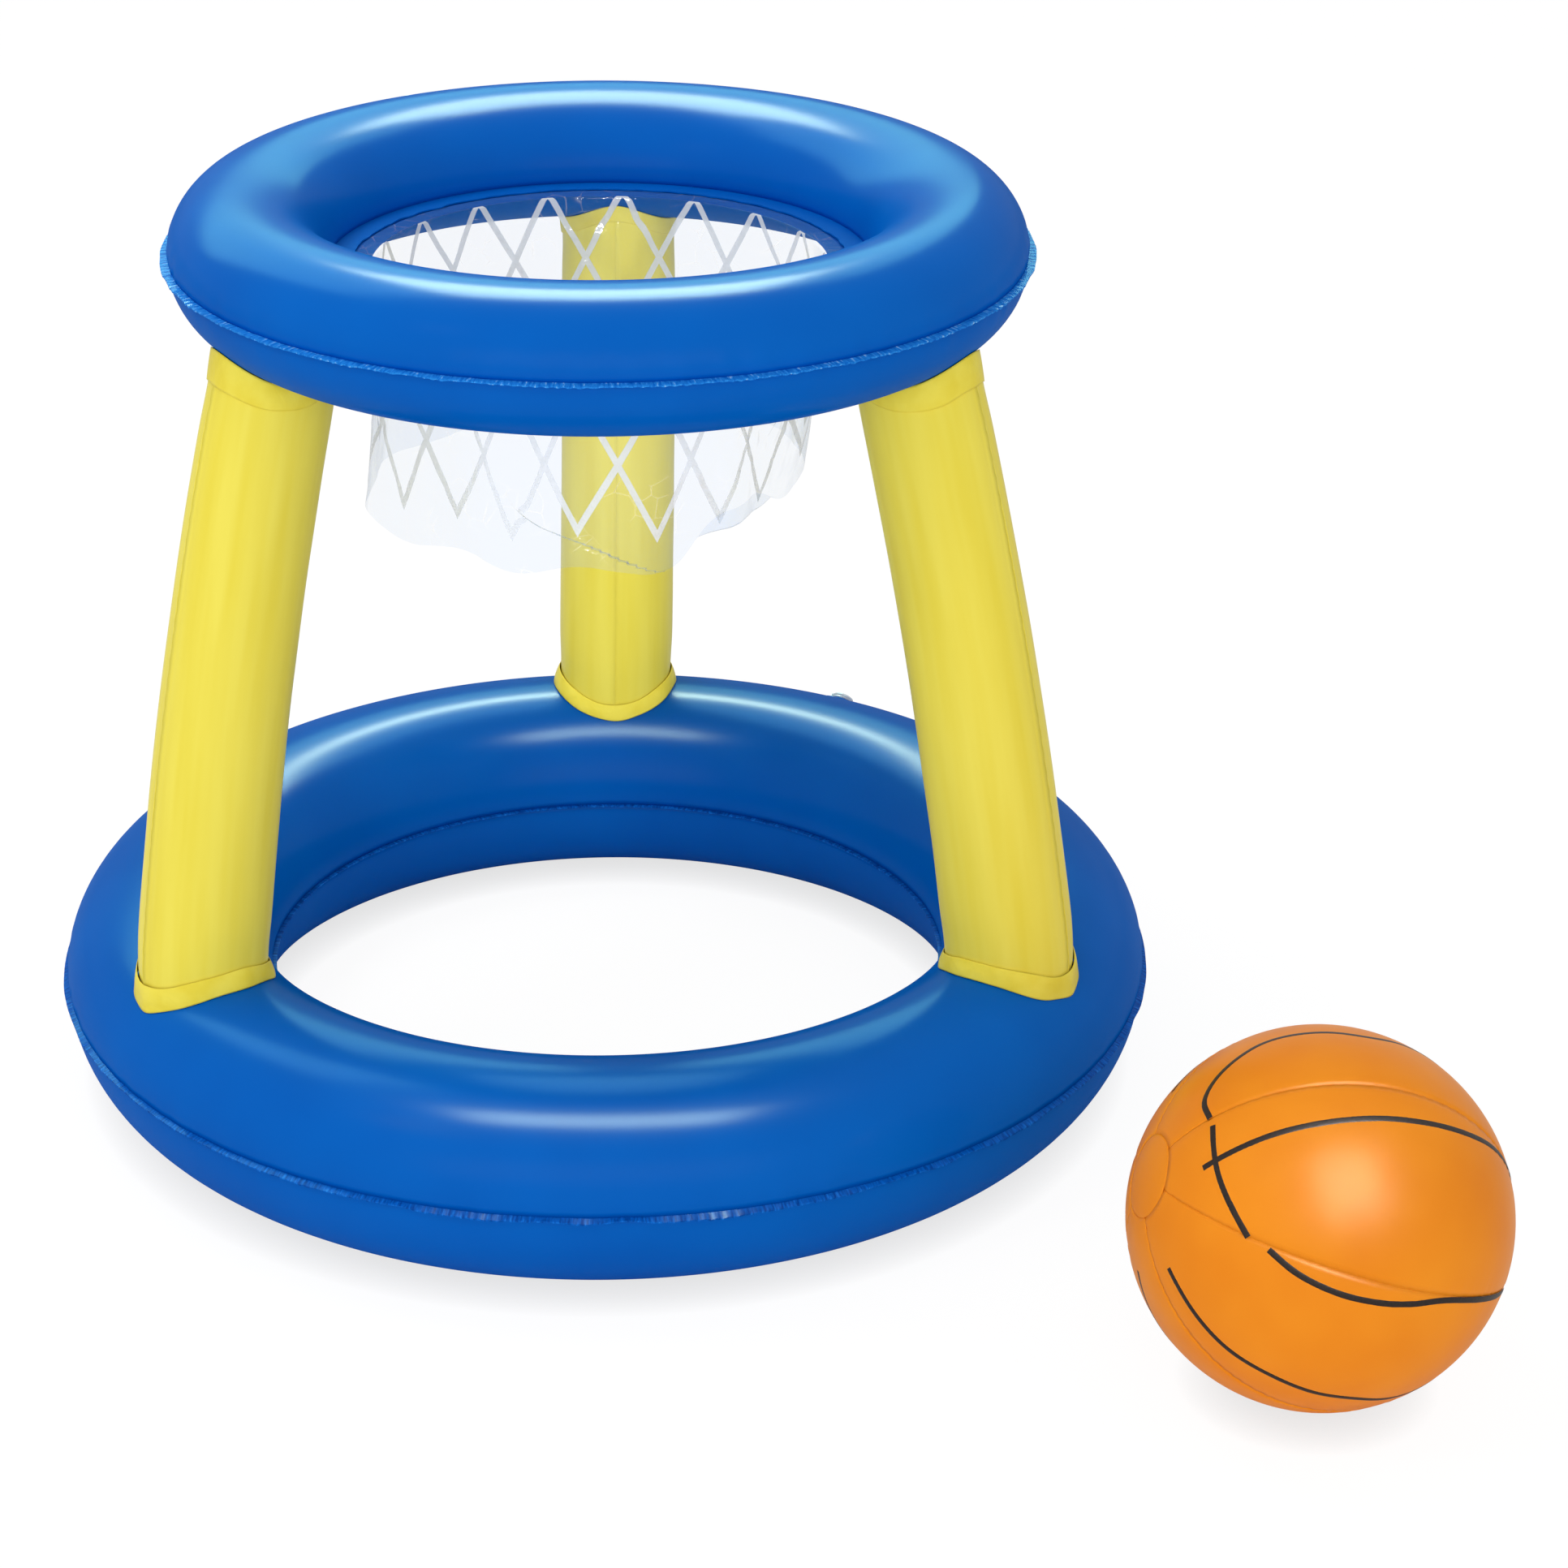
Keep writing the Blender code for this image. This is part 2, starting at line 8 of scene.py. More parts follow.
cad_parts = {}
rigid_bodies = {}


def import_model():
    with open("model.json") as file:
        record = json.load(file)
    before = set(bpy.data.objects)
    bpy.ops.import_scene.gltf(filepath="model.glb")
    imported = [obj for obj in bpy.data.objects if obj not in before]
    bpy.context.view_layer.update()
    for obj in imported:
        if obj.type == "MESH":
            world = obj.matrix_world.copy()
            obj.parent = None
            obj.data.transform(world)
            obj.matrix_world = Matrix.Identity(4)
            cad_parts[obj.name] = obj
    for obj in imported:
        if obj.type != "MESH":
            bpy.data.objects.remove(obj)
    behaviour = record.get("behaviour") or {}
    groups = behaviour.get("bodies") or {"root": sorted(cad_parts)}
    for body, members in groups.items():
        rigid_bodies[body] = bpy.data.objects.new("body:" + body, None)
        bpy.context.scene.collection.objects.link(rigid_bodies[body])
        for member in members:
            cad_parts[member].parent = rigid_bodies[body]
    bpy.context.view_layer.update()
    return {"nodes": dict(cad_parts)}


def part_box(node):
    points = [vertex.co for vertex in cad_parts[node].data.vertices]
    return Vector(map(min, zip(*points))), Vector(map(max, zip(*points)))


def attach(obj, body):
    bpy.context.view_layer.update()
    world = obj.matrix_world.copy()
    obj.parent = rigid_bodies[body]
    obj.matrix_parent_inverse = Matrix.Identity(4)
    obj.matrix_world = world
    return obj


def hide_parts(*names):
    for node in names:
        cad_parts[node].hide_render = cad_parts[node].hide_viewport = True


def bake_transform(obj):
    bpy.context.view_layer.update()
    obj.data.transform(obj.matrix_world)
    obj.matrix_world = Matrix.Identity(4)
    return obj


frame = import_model()

baseLow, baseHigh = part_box("base_ring_upper_sheet")
hoopAxis = Vector(((baseLow.x + baseHigh.x) / 2, (baseLow.y + baseHigh.y) / 2, 0))
print("frame loaded:", len(frame["nodes"]), "nodes")


def directionOf(line):
    azimuth, rise = (math.radians(angle) for angle in line)
    return Vector((math.cos(rise) * math.cos(azimuth), math.cos(rise) * math.sin(azimuth), math.sin(rise)))


# Where the camera stood, in metres and degrees
camera = {
    "place": (-0.04905, -1.81417, 1.03187),
    "back": (-92.463678, 24.937159),  # azimuth and rise of the line from the object to it
    "roll": 0.570298,
    "lens": 87.876,
    "sensor": 36.0,
}


def placeCamera(values):
    back = directionOf(values["back"])
    right = Vector((0, 0, 1)).cross(back).normalized()
    turn = Matrix((right, back.cross(right), back)).transposed()
    turn = turn @ Matrix.Rotation(math.radians(values["roll"]), 3, "Z")
    item = bpy.data.objects.new("studioCamera", bpy.data.cameras.new("studioCamera"))
    item.data.lens, item.data.sensor_width = values["lens"], values["sensor"]
    item.data.clip_start, item.data.clip_end = 0.05, 50
    item.matrix_world = Matrix.Translation(values["place"]) @ turn.to_4x4()
    bpy.context.scene.collection.objects.link(item)
    bpy.context.scene.camera = item


placeCamera(camera)
print("camera placed")


def hexToLinear(text):
    channels = [int(text[i:i + 2], 16) / 255 for i in (1, 3, 5)]
    linear = [c / 12.92 if c <= 0.04045 else ((c + 0.055) / 1.055) ** 2.4 for c in channels]
    return (*linear, 1.0)


def setInputs(owner, node, settings):
    # A setting is a property of the node or one of its inputs, given a value or a socket to link.
    for name, value in settings.items():
        if not isinstance(name, int) and name not in node.inputs:
            setattr(node, name, value)
        elif isinstance(value, bpy.types.NodeSocket):
            owner.node_tree.links.new(value, node.inputs[name])
        else:
            node.inputs[name].default_value = value
    return node


def addNode(owner, kind, settings=None):
    return setInputs(owner, owner.node_tree.nodes.new(kind), settings or {})


def workOut(owner, known, sums):
    # Each sum is a name, an operation and its terms: numbers or names of known sockets.
    for name, operation, *terms in sums:
        inputs = {i: known.get(term, term) for i, term in enumerate(terms)}
        known[name] = addNode(owner, "ShaderNodeMath", {"operation": operation, **inputs}).outputs[0]
    return known[name]


def newMaterial(name, settings):
    material = bpy.data.materials.new(name)
    material.use_nodes = True
    return material, setInputs(material, material.node_tree.nodes["Principled BSDF"], settings)


def addNoise(material, place, sizeMm, detail, rough):
    return addNode(material, "ShaderNodeTexNoise", {
        "Scale": 1000 / sizeMm, "Detail": detail, "Roughness": rough, "Vector": place}).outputs[0]


def addBump(material, distance, height):
    return addNode(material, "ShaderNodeBump", {"Strength": 1.0, "Distance": distance, "Height": height}).outputs[0]


# How the films reflect: weakly, and the blue one by a thin clear layer, so that its edges stay blue
plainGloss = {"IOR": 1.18, "Coat Weight": 0.0}
yellowGloss = {**plainGloss, "Specular Tint": (1.0, 0.95, 0.6, 1.0)}
orangeGloss = {**plainGloss, "Specular Tint": (1.0, 0.9, 0.75, 1.0)}
blueGloss = {"Specular IOR Level": 0.0, "Coat Weight": 0.12, "Coat IOR": 1.5, "Coat Roughness": 0.23}
weldHatch = {"shader": {"Roughness": 0.30, **blueGloss}, "stretch": 0.3, "noises": [(1.6, 2.0, 0.6)], "bump": 0.0002}
# The films and the ink. A noise is its size in mm, its detail and its roughness: the first varies the tone,
# the last lifts the surface by the bump, in metres. A stretch draws it out along the piece's own UV map.
films = {
    # blue PVC, calendered to a gloss: a deep even blue with wide soft highlights
    "calenderedBluePvc": {
        "shader": {"Roughness": 0.23, **blueGloss}, "noises": [(90, 2.0, 0.5), (45, 2.0, 0.4)],
        "tones": [(0.3, "#005DBC"), (0.7, "#0064C4")], "bump": 0.0004},
    # the flat rim that carries the net: two such films pressed together, given a darker blue than the rings
    "pressedRimPvc": {
        "shader": {"Roughness": 0.30, **blueGloss}, "noises": [(40, 2.0, 0.5), (20, 2.0, 0.4)],
        "tones": [(0.3, "#00429E"), (0.7, "#0049A8")], "bump": 0.0004},
    # the high-frequency weld: both films pressed into one strip, finely hatched across its length. The hatching is
    # real; this lit copy's lighter tone is painted light, and its palest stop gives painted glint specks
    "pressedWeldPale": {**weldHatch, "tones": [(0.35, "#0868CC"), (0.6, "#2A90E8"), (0.8, "#B9E4FA")]},
    # the shaded copy: painted shade, darker all over, its palest stop again painted glint specks
    "pressedWeldDark": {**weldHatch, "tones": [(0.35, "#00469E"), (0.6, "#0868CC"), (0.8, "#2A90E8")]},
    # yellow PVC, thinner and slightly see-through: long pale and golden streaks run down it
    "translucentYellowPvc": {
        "shader": {"Roughness": 0.32, **yellowGloss}, "stretch": 1 / 14, "noises": [(11, 2.0, 0.5)],
        "tones": [(0.3, "#F2E04E"), (0.65, "#F8E95F")], "bump": 0.0003},
    # the legs' welded collars: the same film, doubled and pressed, a little deeper in colour
    "weldedYellowPvc": {
        "shader": {"Roughness": 0.36, **yellowGloss}, "noises": [(14, 2.0, 0.5), (5, 2.0, 0.5)],
        "tones": [(0.35, "#F0DC48"), (0.65, "#F7E658")], "bump": 0.0004},
    # orange PVC of the ball, glossy and a touch mottled
    "calenderedOrangePvc": {
        "shader": {"Roughness": 0.36, **orangeGloss}, "noises": [(60, 2.0, 0.5), (30, 3.0, 0.5)],
        "tones": [(0.35, "#F08A1C"), (0.65, "#F79522")], "bump": 0.0004},
    # screen-printed ink on the ball: a flat brown-black with a weak sheen
    "screenPrintedInk": {
        "shader": {"Roughness": 0.42, "IOR": 1.3}, "noises": [(1.2, 3.0, 0.5)],
        "tones": [(0.3, "#1C1410"), (0.7, "#2A1F1A")], "bump": 0.0001},
    # clear PVC of the valves, thick enough to look milky
    "clearValvePvc": {
        "shader": {"Roughness": 0.18, "IOR": 1.53, "Alpha": 0.72, "Coat Weight": 0.4}, "noises": [(4, 2.0, 0.5)],
        "tones": [(0.3, "#D3DCE6"), (0.7, "#E9EEF4")], "bump": 0.0001},
}


def makeFilm(name, values):
    material, shader = newMaterial(name, values["shader"])
    place = addNode(material, "ShaderNodeTexCoord").outputs["UV" if "stretch" in values else "Object"]
    if "stretch" in values:
        stretch = (1.0, values["stretch"], 1.0)
        place = addNode(material, "ShaderNodeMapping", {"Scale": stretch, "Vector": place}).outputs[0]
    noises = [addNoise(material, place, *noiseValues) for noiseValues in values["noises"]]
    ramp = addNode(material, "ShaderNodeValToRGB", {0: noises[0]})
    elements = ramp.color_ramp.elements
    while len(elements) < len(values["tones"]):
        elements.new(1.0)
    for i, (share, colour) in enumerate(values["tones"]):
        elements[i].position, elements[i].color = share, hexToLinear(colour)
    bump = addBump(material, values["bump"], noises[-1])
    setInputs(material, shader, {"Base Color": ramp.outputs[0], "Normal": bump})
    return material


# The printed lattice: lines run slantwise from blunt peaks under the rim to points above the hem. Span,
# peakCut and pointRoom count crossings down the print, and lineEdge is the soft share of a line's half width.
lattice = {
    "count": 18, "firstAzimuth": 84.5, "span": 1.5, "top": 0.4545, "bottom": 0.3400, "lineWidth": 0.0034,
    "radius": 0.1152, "peakCut": 0.025, "pointRoom": 0.4, "lineEdge": 0.06,
}
# Clear PVC film: almost invisible head-on, pale blue-grey where it is seen edgewise, finely creased; its white crease
# lines are partly stress-whitening and partly painted glints
clearFilm = {
    "shader": {"Roughness": 0.12, "IOR": 1.5, "Coat Weight": 0.6, "Coat Roughness": 0.06}, "flat": "#5AA9EC",
    "edge": "#B4CBE4", "crease": "#FFFFFF", "print": "#DDE3EA", "flatAlpha": 0.12, "edgeAlpha": 0.6,
    "creaseAndGlintAlpha": 0.3, "printAlpha": 0.86, "creaseMm": 13, "creaseWidth": 0.035, "patches": (26, 2.0, 0.5),
    "patchEdge": (0.5, 0.62), "ripples": (9, 3.0, 0.6), "bump": 0.0016,
}


def latticeMask(material, values):
    # 1 on the printed lines. U counts peaks round the net, V is the height in metres.
    place = addNode(material, "ShaderNodeTexCoord").outputs["UV"]
    parts = addNode(material, "ShaderNodeSeparateXYZ", {0: place}).outputs
    span, drop, soft = values["span"], values["top"] - values["bottom"], values["lineEdge"]
    pitch = math.tau * values["radius"] / values["count"]
    slope = math.hypot(span * pitch, drop) / drop  # how much a slant widens a line across
    halfLine = values["lineWidth"] / 2 * slope / pitch
    known = {"across": parts[0], "height": parts[1]}
    workOut(material, known, [
        ("down", "MULTIPLY_ADD", "height", -span / drop, values["top"] * span / drop),
        ("leftAlong", "MULTIPLY_ADD", "down", 1, "across"), ("left", "PINGPONG", "leftAlong", 0.5),
        ("rightAlong", "MULTIPLY_ADD", "down", -1, "across"), ("right", "PINGPONG", "rightAlong", 0.5)])
    for line in ("left", "right"):
        known[line] = addNode(material, "ShaderNodeMapRange", {
            "From Min": halfLine * (1 + soft), "From Max": halfLine * (1 - soft), "Value": known[line]}).outputs[0]
    # both lines stop at the peaks, and below the last crossing only their shared point is left
    return workOut(material, known, [
        ("started", "GREATER_THAN", "down", values["peakCut"]), ("above", "LESS_THAN", "down", span),
        ("near", "LESS_THAN", "down", span + values["pointRoom"]),
        ("either", "MAXIMUM", "left", "right"), ("both", "MINIMUM", "left", "right"),
        ("lines", "MULTIPLY", "either", "above"), ("points", "MULTIPLY", "both", "near"),
        ("all", "MAXIMUM", "lines", "points"), ("mask", "MULTIPLY", "all", "started")])


def makeClearFilm(values, printed):
    material, shader = newMaterial("clearPvcFilm", values["shader"])
    place = addNode(material, "ShaderNodeTexCoord").outputs["Object"]
    cells = addNode(material, "ShaderNodeTexVoronoi", {
        "feature": "DISTANCE_TO_EDGE", "Scale": 1000 / values["creaseMm"], "Vector": place})
    patches, ripples = (addNoise(material, place, *values[key]) for key in ("patches", "ripples"))
    facing = addNode(material, "ShaderNodeLayerWeight", {"Blend": 0.35})
    crease, patch, edge = (addNode(material, "ShaderNodeMapRange", {
        "From Min": low, "From Max": high, "Value": socket}).outputs[0] for low, high, socket in (
        (values["creaseWidth"], 0.0, cells.outputs[0]), (*values["patchEdge"], patches),
        (0.5, 1.0, facing.outputs["Facing"])))
    known = {"crease": crease, "patch": patch, "edge": edge, "print": latticeMask(material, printed)}
    # white crease lines in patches cover the film: partly stress-whitening, partly painted glints
    cover = workOut(material, known, [
        ("creasesAndGlints", "MULTIPLY", "crease", "patch"),
        ("bare", "MULTIPLY_ADD", "edge", values["edgeAlpha"] - values["flatAlpha"], values["flatAlpha"]),
        ("printCover", "MULTIPLY", "print", values["printAlpha"]), ("printed", "MAXIMUM", "bare", "printCover"),
        ("creaseAndGlintCover", "MULTIPLY", "creasesAndGlints", values["creaseAndGlintAlpha"]),
        ("cover", "MAXIMUM", "printed", "creaseAndGlintCover")])
    tint = hexToLinear(values["flat"])
    for layer, share in (("edge", "edge"), ("crease", "creasesAndGlints"), ("print", "print")):
        tint = addNode(material, "ShaderNodeMix", {
            "data_type": "RGBA", 0: known[share], 6: tint, 7: hexToLinear(values[layer])}).outputs[2]
    bump = addBump(material, values["bump"], ripples)
    setInputs(material, shader, {"Base Color": tint, "Alpha": cover, "Normal": bump})
    return material


blue, rimBlue, paintedLitWeld, paintedShadeWeld, yellow, collarYellow, orange, ink, valvePvc = (
    makeFilm(name, values) for name, values in films.items())
film = makeClearFilm(clearFilm, lattice)
print("materials made")


def placeMesh(name, mesh, material=None):
    # an object for a bmesh that is in world coordinates
    data = bpy.data.meshes.new(name)
    mesh.to_mesh(data)
    mesh.free()
    if material:
        data.shade_smooth()
        data.materials.append(material)
    item = bpy.data.objects.new(name, data)
    bpy.context.scene.collection.objects.link(item)
    return item


def finishPiece(name, mesh, material, body, nodes=(), wall=0.0):
    piece = placeMesh(name, mesh, material)
    if wall:
        thick = piece.modifiers.new("film", "SOLIDIFY")
        thick.thickness, thick.offset, thick.use_even_offset = wall, -1, False
    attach(piece, body)
    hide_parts(*nodes)
    return piece


def camelName(name):
    first, *rest = name.split("_")
    return first + "".join(word.capitalize() for word in rest)


def finishNode(node, mesh, material, body, wall=0.0):
    return finishPiece(camelName(node), mesh, material, body, [node], wall)


def sharpen(piece, degrees):
    piece.data.set_sharp_from_angle(angle=math.radians(degrees))


def spunSection(points, steps, place):
    # a closed section of radii and heights, turned round the upright axis
    mesh = bmesh.new()
    corners = [mesh.verts.new((radius, 0, height)) for radius, height in points]
    edges = [mesh.edges.new(pair) for pair in zip(corners, corners[1:] + corners[:1])]
    bmesh.ops.spin(mesh, geom=corners + edges, cent=(0, 0, 0), axis=(0, 0, 1), angle=math.tau,
                   steps=steps, use_merge=True)
    bmesh.ops.remove_doubles(mesh, verts=mesh.verts, dist=1e-7)
    bmesh.ops.recalc_face_normals(mesh, faces=mesh.faces)
    bmesh.ops.transform(mesh, matrix=place, verts=mesh.verts)
    return mesh


def faceOutwards(mesh, middleOf):
    mesh.normal_update()
    outward = 0.0
    for face in mesh.faces:
        centre = face.calc_center_median()
        outward += face.calc_area() * face.normal.dot(centre - middleOf(centre))
    if outward < 0:
        bmesh.ops.reverse_faces(mesh, faces=mesh.faces)


def mappedGrid(across, along, shape, width=1.0, height=1.0, middleOf=None):
    # A grid each point of which is put where shape(u, v) says, with UVs up to width and height. An open
    # sheet's faces are turned away from the middle of the form that it wraps.
    mesh = bmesh.new()
    layer = mesh.loops.layers.uv.new("UVMap")
    bmesh.ops.create_grid(mesh, x_segments=across, y_segments=along, size=0.5, calc_uvs=True)
    for face in mesh.faces:
        for loop in face.loops:
            loop[layer].uv = (loop[layer].uv.x * width, loop[layer].uv.y * height)
    for vert in mesh.verts:
        vert.co = shape(vert.co.x + 0.5, vert.co.y + 0.5)
    bmesh.ops.remove_doubles(mesh, verts=mesh.verts, dist=1e-6)
    bmesh.ops.recalc_face_normals(mesh, faces=mesh.faces)
    if middleOf:
        faceOutwards(mesh, middleOf)
    return mesh


def meet(level, path, outside, inside):
    # how far along a path, walked from outside to inside, a surface lies
    for _ in range(28):
        middle = (outside + inside) / 2
        if level(path(middle)) > 0:
            outside = middle
        else:
            inside = middle
    return outside


def bell(offset, width):
    return math.exp(-(offset / width) ** 2)


def lumpsAt(angle, size, seed):
    # unevenness round a ring: the smaller the size, the longer the lumps
    return noise.noise(Vector((math.cos(angle) * size, math.sin(angle) * size, seed)))


def aboutHoop(radius, azimuth, height):
    return hoopAxis + Vector((radius * math.cos(azimuth), radius * math.sin(azimuth), height))


# The rings: reaches and heights in metres, as in the CAD
ringWall = 0.0003
ringFilm = {"pinch": 0.0009, "puckerReach": 0.006, "steps": 384, "quarterSteps": 24}
baseRing = {
    "crestRadius": 0.2395, "outerReach": 0.0555, "innerReach": 0.0555, "top": 0.111, "bottom": 0.0,
    "outerSeam": 0.0590, "innerSeam": 0.0545, "restBand": 0.020, "pinchLength": 0.0040,
    "puckerDepth": 0.00035, "puckers": 74, **ringFilm,
}
topRing = {
    "crestRadius": 0.1829, "outerReach": 0.0361, "innerReach": 0.0449, "top": 0.494, "bottom": 0.4218,
    "outerSeam": 0.4579, "innerSeam": 0.4498, "restBand": 0.0, "pinchLength": 0.0035,
    "puckerDepth": 0.00045, "puckers": 62, **ringFilm,
}


def ringQuarter(ring, upper, outer):
    # height of the quarter ellipse's centre, its reach and its height
    side = "outer" if outer else "inner"
    centre, reach = ring[side + "Seam"], ring[side + "Reach"]
    if upper:
        return centre, reach, ring["top"] - centre
    return centre, reach, (centre - ring["bottom"]) / math.sin(math.acos(ring["restBand"] / 2 / reach))


def ringMiddle(ring):
    def middleOf(point):
        out = point - hoopAxis
        return aboutHoop(ring["crestRadius"], math.atan2(out.y, out.x), (ring["top"] + ring["bottom"]) / 2)

    return middleOf


def ringSheet(ring, upper, node):
    side = 1 if upper else -1

    def shape(u, v):
        # v runs from the outer weld over the crest to the inner weld
        azimuth, angle = math.tau * u, math.pi * v
        outer = v < 0.5
        centre, reach, height = ringQuarter(ring, upper, outer)
        radius = ring["crestRadius"] + reach * math.cos(angle)
        level = max(centre + side * height * math.sin(angle), 0.0)
        offSeam = abs(level - centre)
        pinch = ring["pinch"] * math.exp(-offSeam / ring["pinchLength"])
        lumps = lumpsAt(azimuth, 9, side + 4)
        wave = math.sin(ring["puckers"] * azimuth + 4 * lumps) * (0.5 + lumps)
        pucker = ring["puckerDepth"] * wave * bell(offSeam - ring["puckerReach"], ring["puckerReach"])
        radius += (pucker - pinch) if outer else (pinch - 0.3 * pucker)
        return aboutHoop(radius, azimuth, level)

    mesh = mappedGrid(ring["steps"], 2 * ring["quarterSteps"], shape, middleOf=ringMiddle(ring))
    return finishNode(node, mesh, blue, "hoop", ringWall)


baseUpper = ringSheet(baseRing, True, "base_ring_upper_sheet")
ringSheet(baseRing, False, "base_ring_lower_sheet")
topUpper = ringSheet(topRing, True, "top_ring_upper_sheet")
ringSheet(topRing, False, "top_ring_lower_sheet")
print("ring sheets made")


# The pressed weld strips that stand out of the rings' walls
# the top ring's outer strip wears the painted-lit weld film, the base ring's strips the painted-shade one
weldStrips = {
    "topRingOuterWeld": {
        "inner": 0.2176, "outer": 0.2222, "level": 0.4579, "droop": 0.0004, "ripple": 0.00030, "ripples": 260,
        "steps": 1560, "material": paintedLitWeld},
    "topRingInnerWeld": {
        "inner": 0.1392, "outer": 0.1270, "level": 0.4498, "droop": 0.0, "ripple": 0.00005, "ripples": 90,
        "steps": 540, "material": blue},
    "baseRingOuterWeld": {
        "inner": 0.2933, "outer": 0.2970, "level": 0.0590, "droop": 0.0014, "ripple": 0.00020, "ripples": 300,
        "steps": 1500, "material": paintedShadeWeld},
    "baseRingInnerWeld": {
        "inner": 0.1852, "outer": 0.1824, "level": 0.0545, "droop": 0.0, "ripple": 0.00008, "ripples": 120,
        "steps": 720, "material": paintedShadeWeld},
}
weldThickness = 0.0008


def weldStrip(name, values):
    # the closed section has six points, on the strip's two faces; the free edge is the outer one
    freed, sides = [0.0, 0.5, 1.0, 1.0, 0.5, 0.0, 0.0], [-1, -1, -1, 1, 1, 1, -1]
    inner, outer, level = values["inner"], values["outer"], values["level"]

    def shape(u, v):
        azimuth, corner = math.tau * u, round(v * 6)
        lumps = lumpsAt(azimuth, 14, level * 9)
        wave = math.sin(values["ripples"] * azimuth + 5 * lumps) * (0.6 + lumps)
        loose = freed[corner] * (values["ripple"] * wave - values["droop"] * (1 + lumps))
        radius = inner + (outer - inner) * freed[corner] * (1 + 0.12 * lumps)
        return aboutHoop(radius, azimuth, level + sides[corner] * weldThickness / 2 + loose)

    mesh = mappedGrid(values["steps"], 6, shape, math.tau * outer, 2 * abs(outer - inner))
    sharpen(finishPiece(name, mesh, values["material"], "hoop"), 50)


for stripName, stripValues in weldStrips.items():
    weldStrip(stripName, stripValues)
print("weld strips made")


# The flat rim under the top ring's inner weld, that carries the net
netRim = {"inner": 0.1170, "outer": 0.1300, "edge": 0.0002, "steps": 256}


def makeRim(values):
    low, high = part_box("net_rim_flange")
    inner, outer, edge = values["inner"], values["outer"], values["edge"]
    section = [
        (inner, low.z + edge), (inner + edge, low.z), (outer - edge, low.z), (outer, low.z + edge),
        (outer, high.z - edge), (outer - edge, high.z), (inner + edge, high.z), (inner, high.z - edge),
    ]
    mesh = spunSection(section, values["steps"], Matrix.Translation(hoopAxis))
    sharpen(finishPiece("netRim", mesh, rimBlue, "hoop", ["net_rim_flange"]), 35)


makeRim(netRim)
print("net rim made")


# The legs: inflated tubes that lean inwards, each welded from two half panels
leg = {
    "footRadius": 0.0340, "headRadius": 0.0315, "footOffset": 0.0029, "headOffset": 0.0020, "bow": 0.0050,
    "rise": topRing["bottom"] - baseRing["top"], "seatGap": 0.0005, "turnSteps": 40, "rowSteps": 110,
    "waist": 0.0006, "waistLength": 0.012, "footWaist": 0.016, "headWaist": 0.018, "weldWidth": 0.0010,
    "weldHeight": 0.0008, "hatch": 0.0016, "pull": 0.0005, "pullWidth": 0.006, "lumps": 0.0003,
    "tuck": 0.0036, "tuckLength": 0.010, "pinch": 0.0006, "pinchLength": 0.008,
}
# each leg's azimuths at its foot and its head, and which way its half panels face
legs = {
    "rear_leg": (89.0, 87.2, "left", "right"),
    "left_leg": (210.7, 208.1, "front", "rear"),
    "right_leg": (330.0, 329.3, "rear", "front"),
}


def ringLevel(ring, grow, point):
    # below 0 inside the ring's tube grown by a gap, above 0 outside
    out = point - hoopAxis
    radius = math.hypot(out.x, out.y)
    outer = radius > ring["crestRadius"]
    upper = point.z > (ring["outerSeam"] if outer else ring["innerSeam"])
    centre, reach, height = ringQuarter(ring, upper, outer)
    across = (radius - ring["crestRadius"]) / (reach + grow)
    return across ** 2 + ((point.z - centre) / (height + grow)) ** 2 - 1


def legPoint(lean, share, turn, grow):
    # A point on the leg's wall grown by a gap, turned from the side that faces away from the hoop
    azimuth = lean[0] + (lean[1] - lean[0]) * share
    radius = leg["footRadius"] + (leg["headRadius"] - leg["footRadius"]) * share + grow
    foot = baseRing["crestRadius"] + leg["footOffset"]
    head = topRing["crestRadius"] - leg["headOffset"]
    along = foot + (head - foot) * share + 4 * leg["bow"] * share * (1 - share)
    slope = (head - foot) + 4 * leg["bow"] * (1 - 2 * share)
    radial = Vector((math.cos(azimuth), math.sin(azimuth), 0))
    side = Vector((-math.sin(azimuth), math.cos(azimuth), 0))
    outward = (radial * leg["rise"] - Vector((0, 0, slope))).normalized()
    centre = aboutHoop(along, azimuth, baseRing["top"] + leg["rise"] * share)
    return centre + radius * (math.cos(turn) * outward + math.sin(turn) * side)


def legEnd(lean, turn, grow, atFoot):
    # the share of the leg's height at which its wall meets the ring
    ring = baseRing if atFoot else topRing
    return meet(lambda point: ringLevel(ring, leg["seatGap"], point),
                lambda share: legPoint(lean, share, turn, grow), *((0.3, -0.12) if atFoot else (0.7, 1.1)))


def legMiddle(lean):
    return lambda point: legPoint(lean, (point.z - baseRing["top"]) / leg["rise"], 0, -leg["footRadius"])


def footTuck(turn, fromFoot):
    # the foot is drawn in a little on the side that faces away from the hoop
    return -leg["tuck"] * ((1 + math.cos(turn)) / 2) ** 2 * bell(fromFoot, leg["tuckLength"])


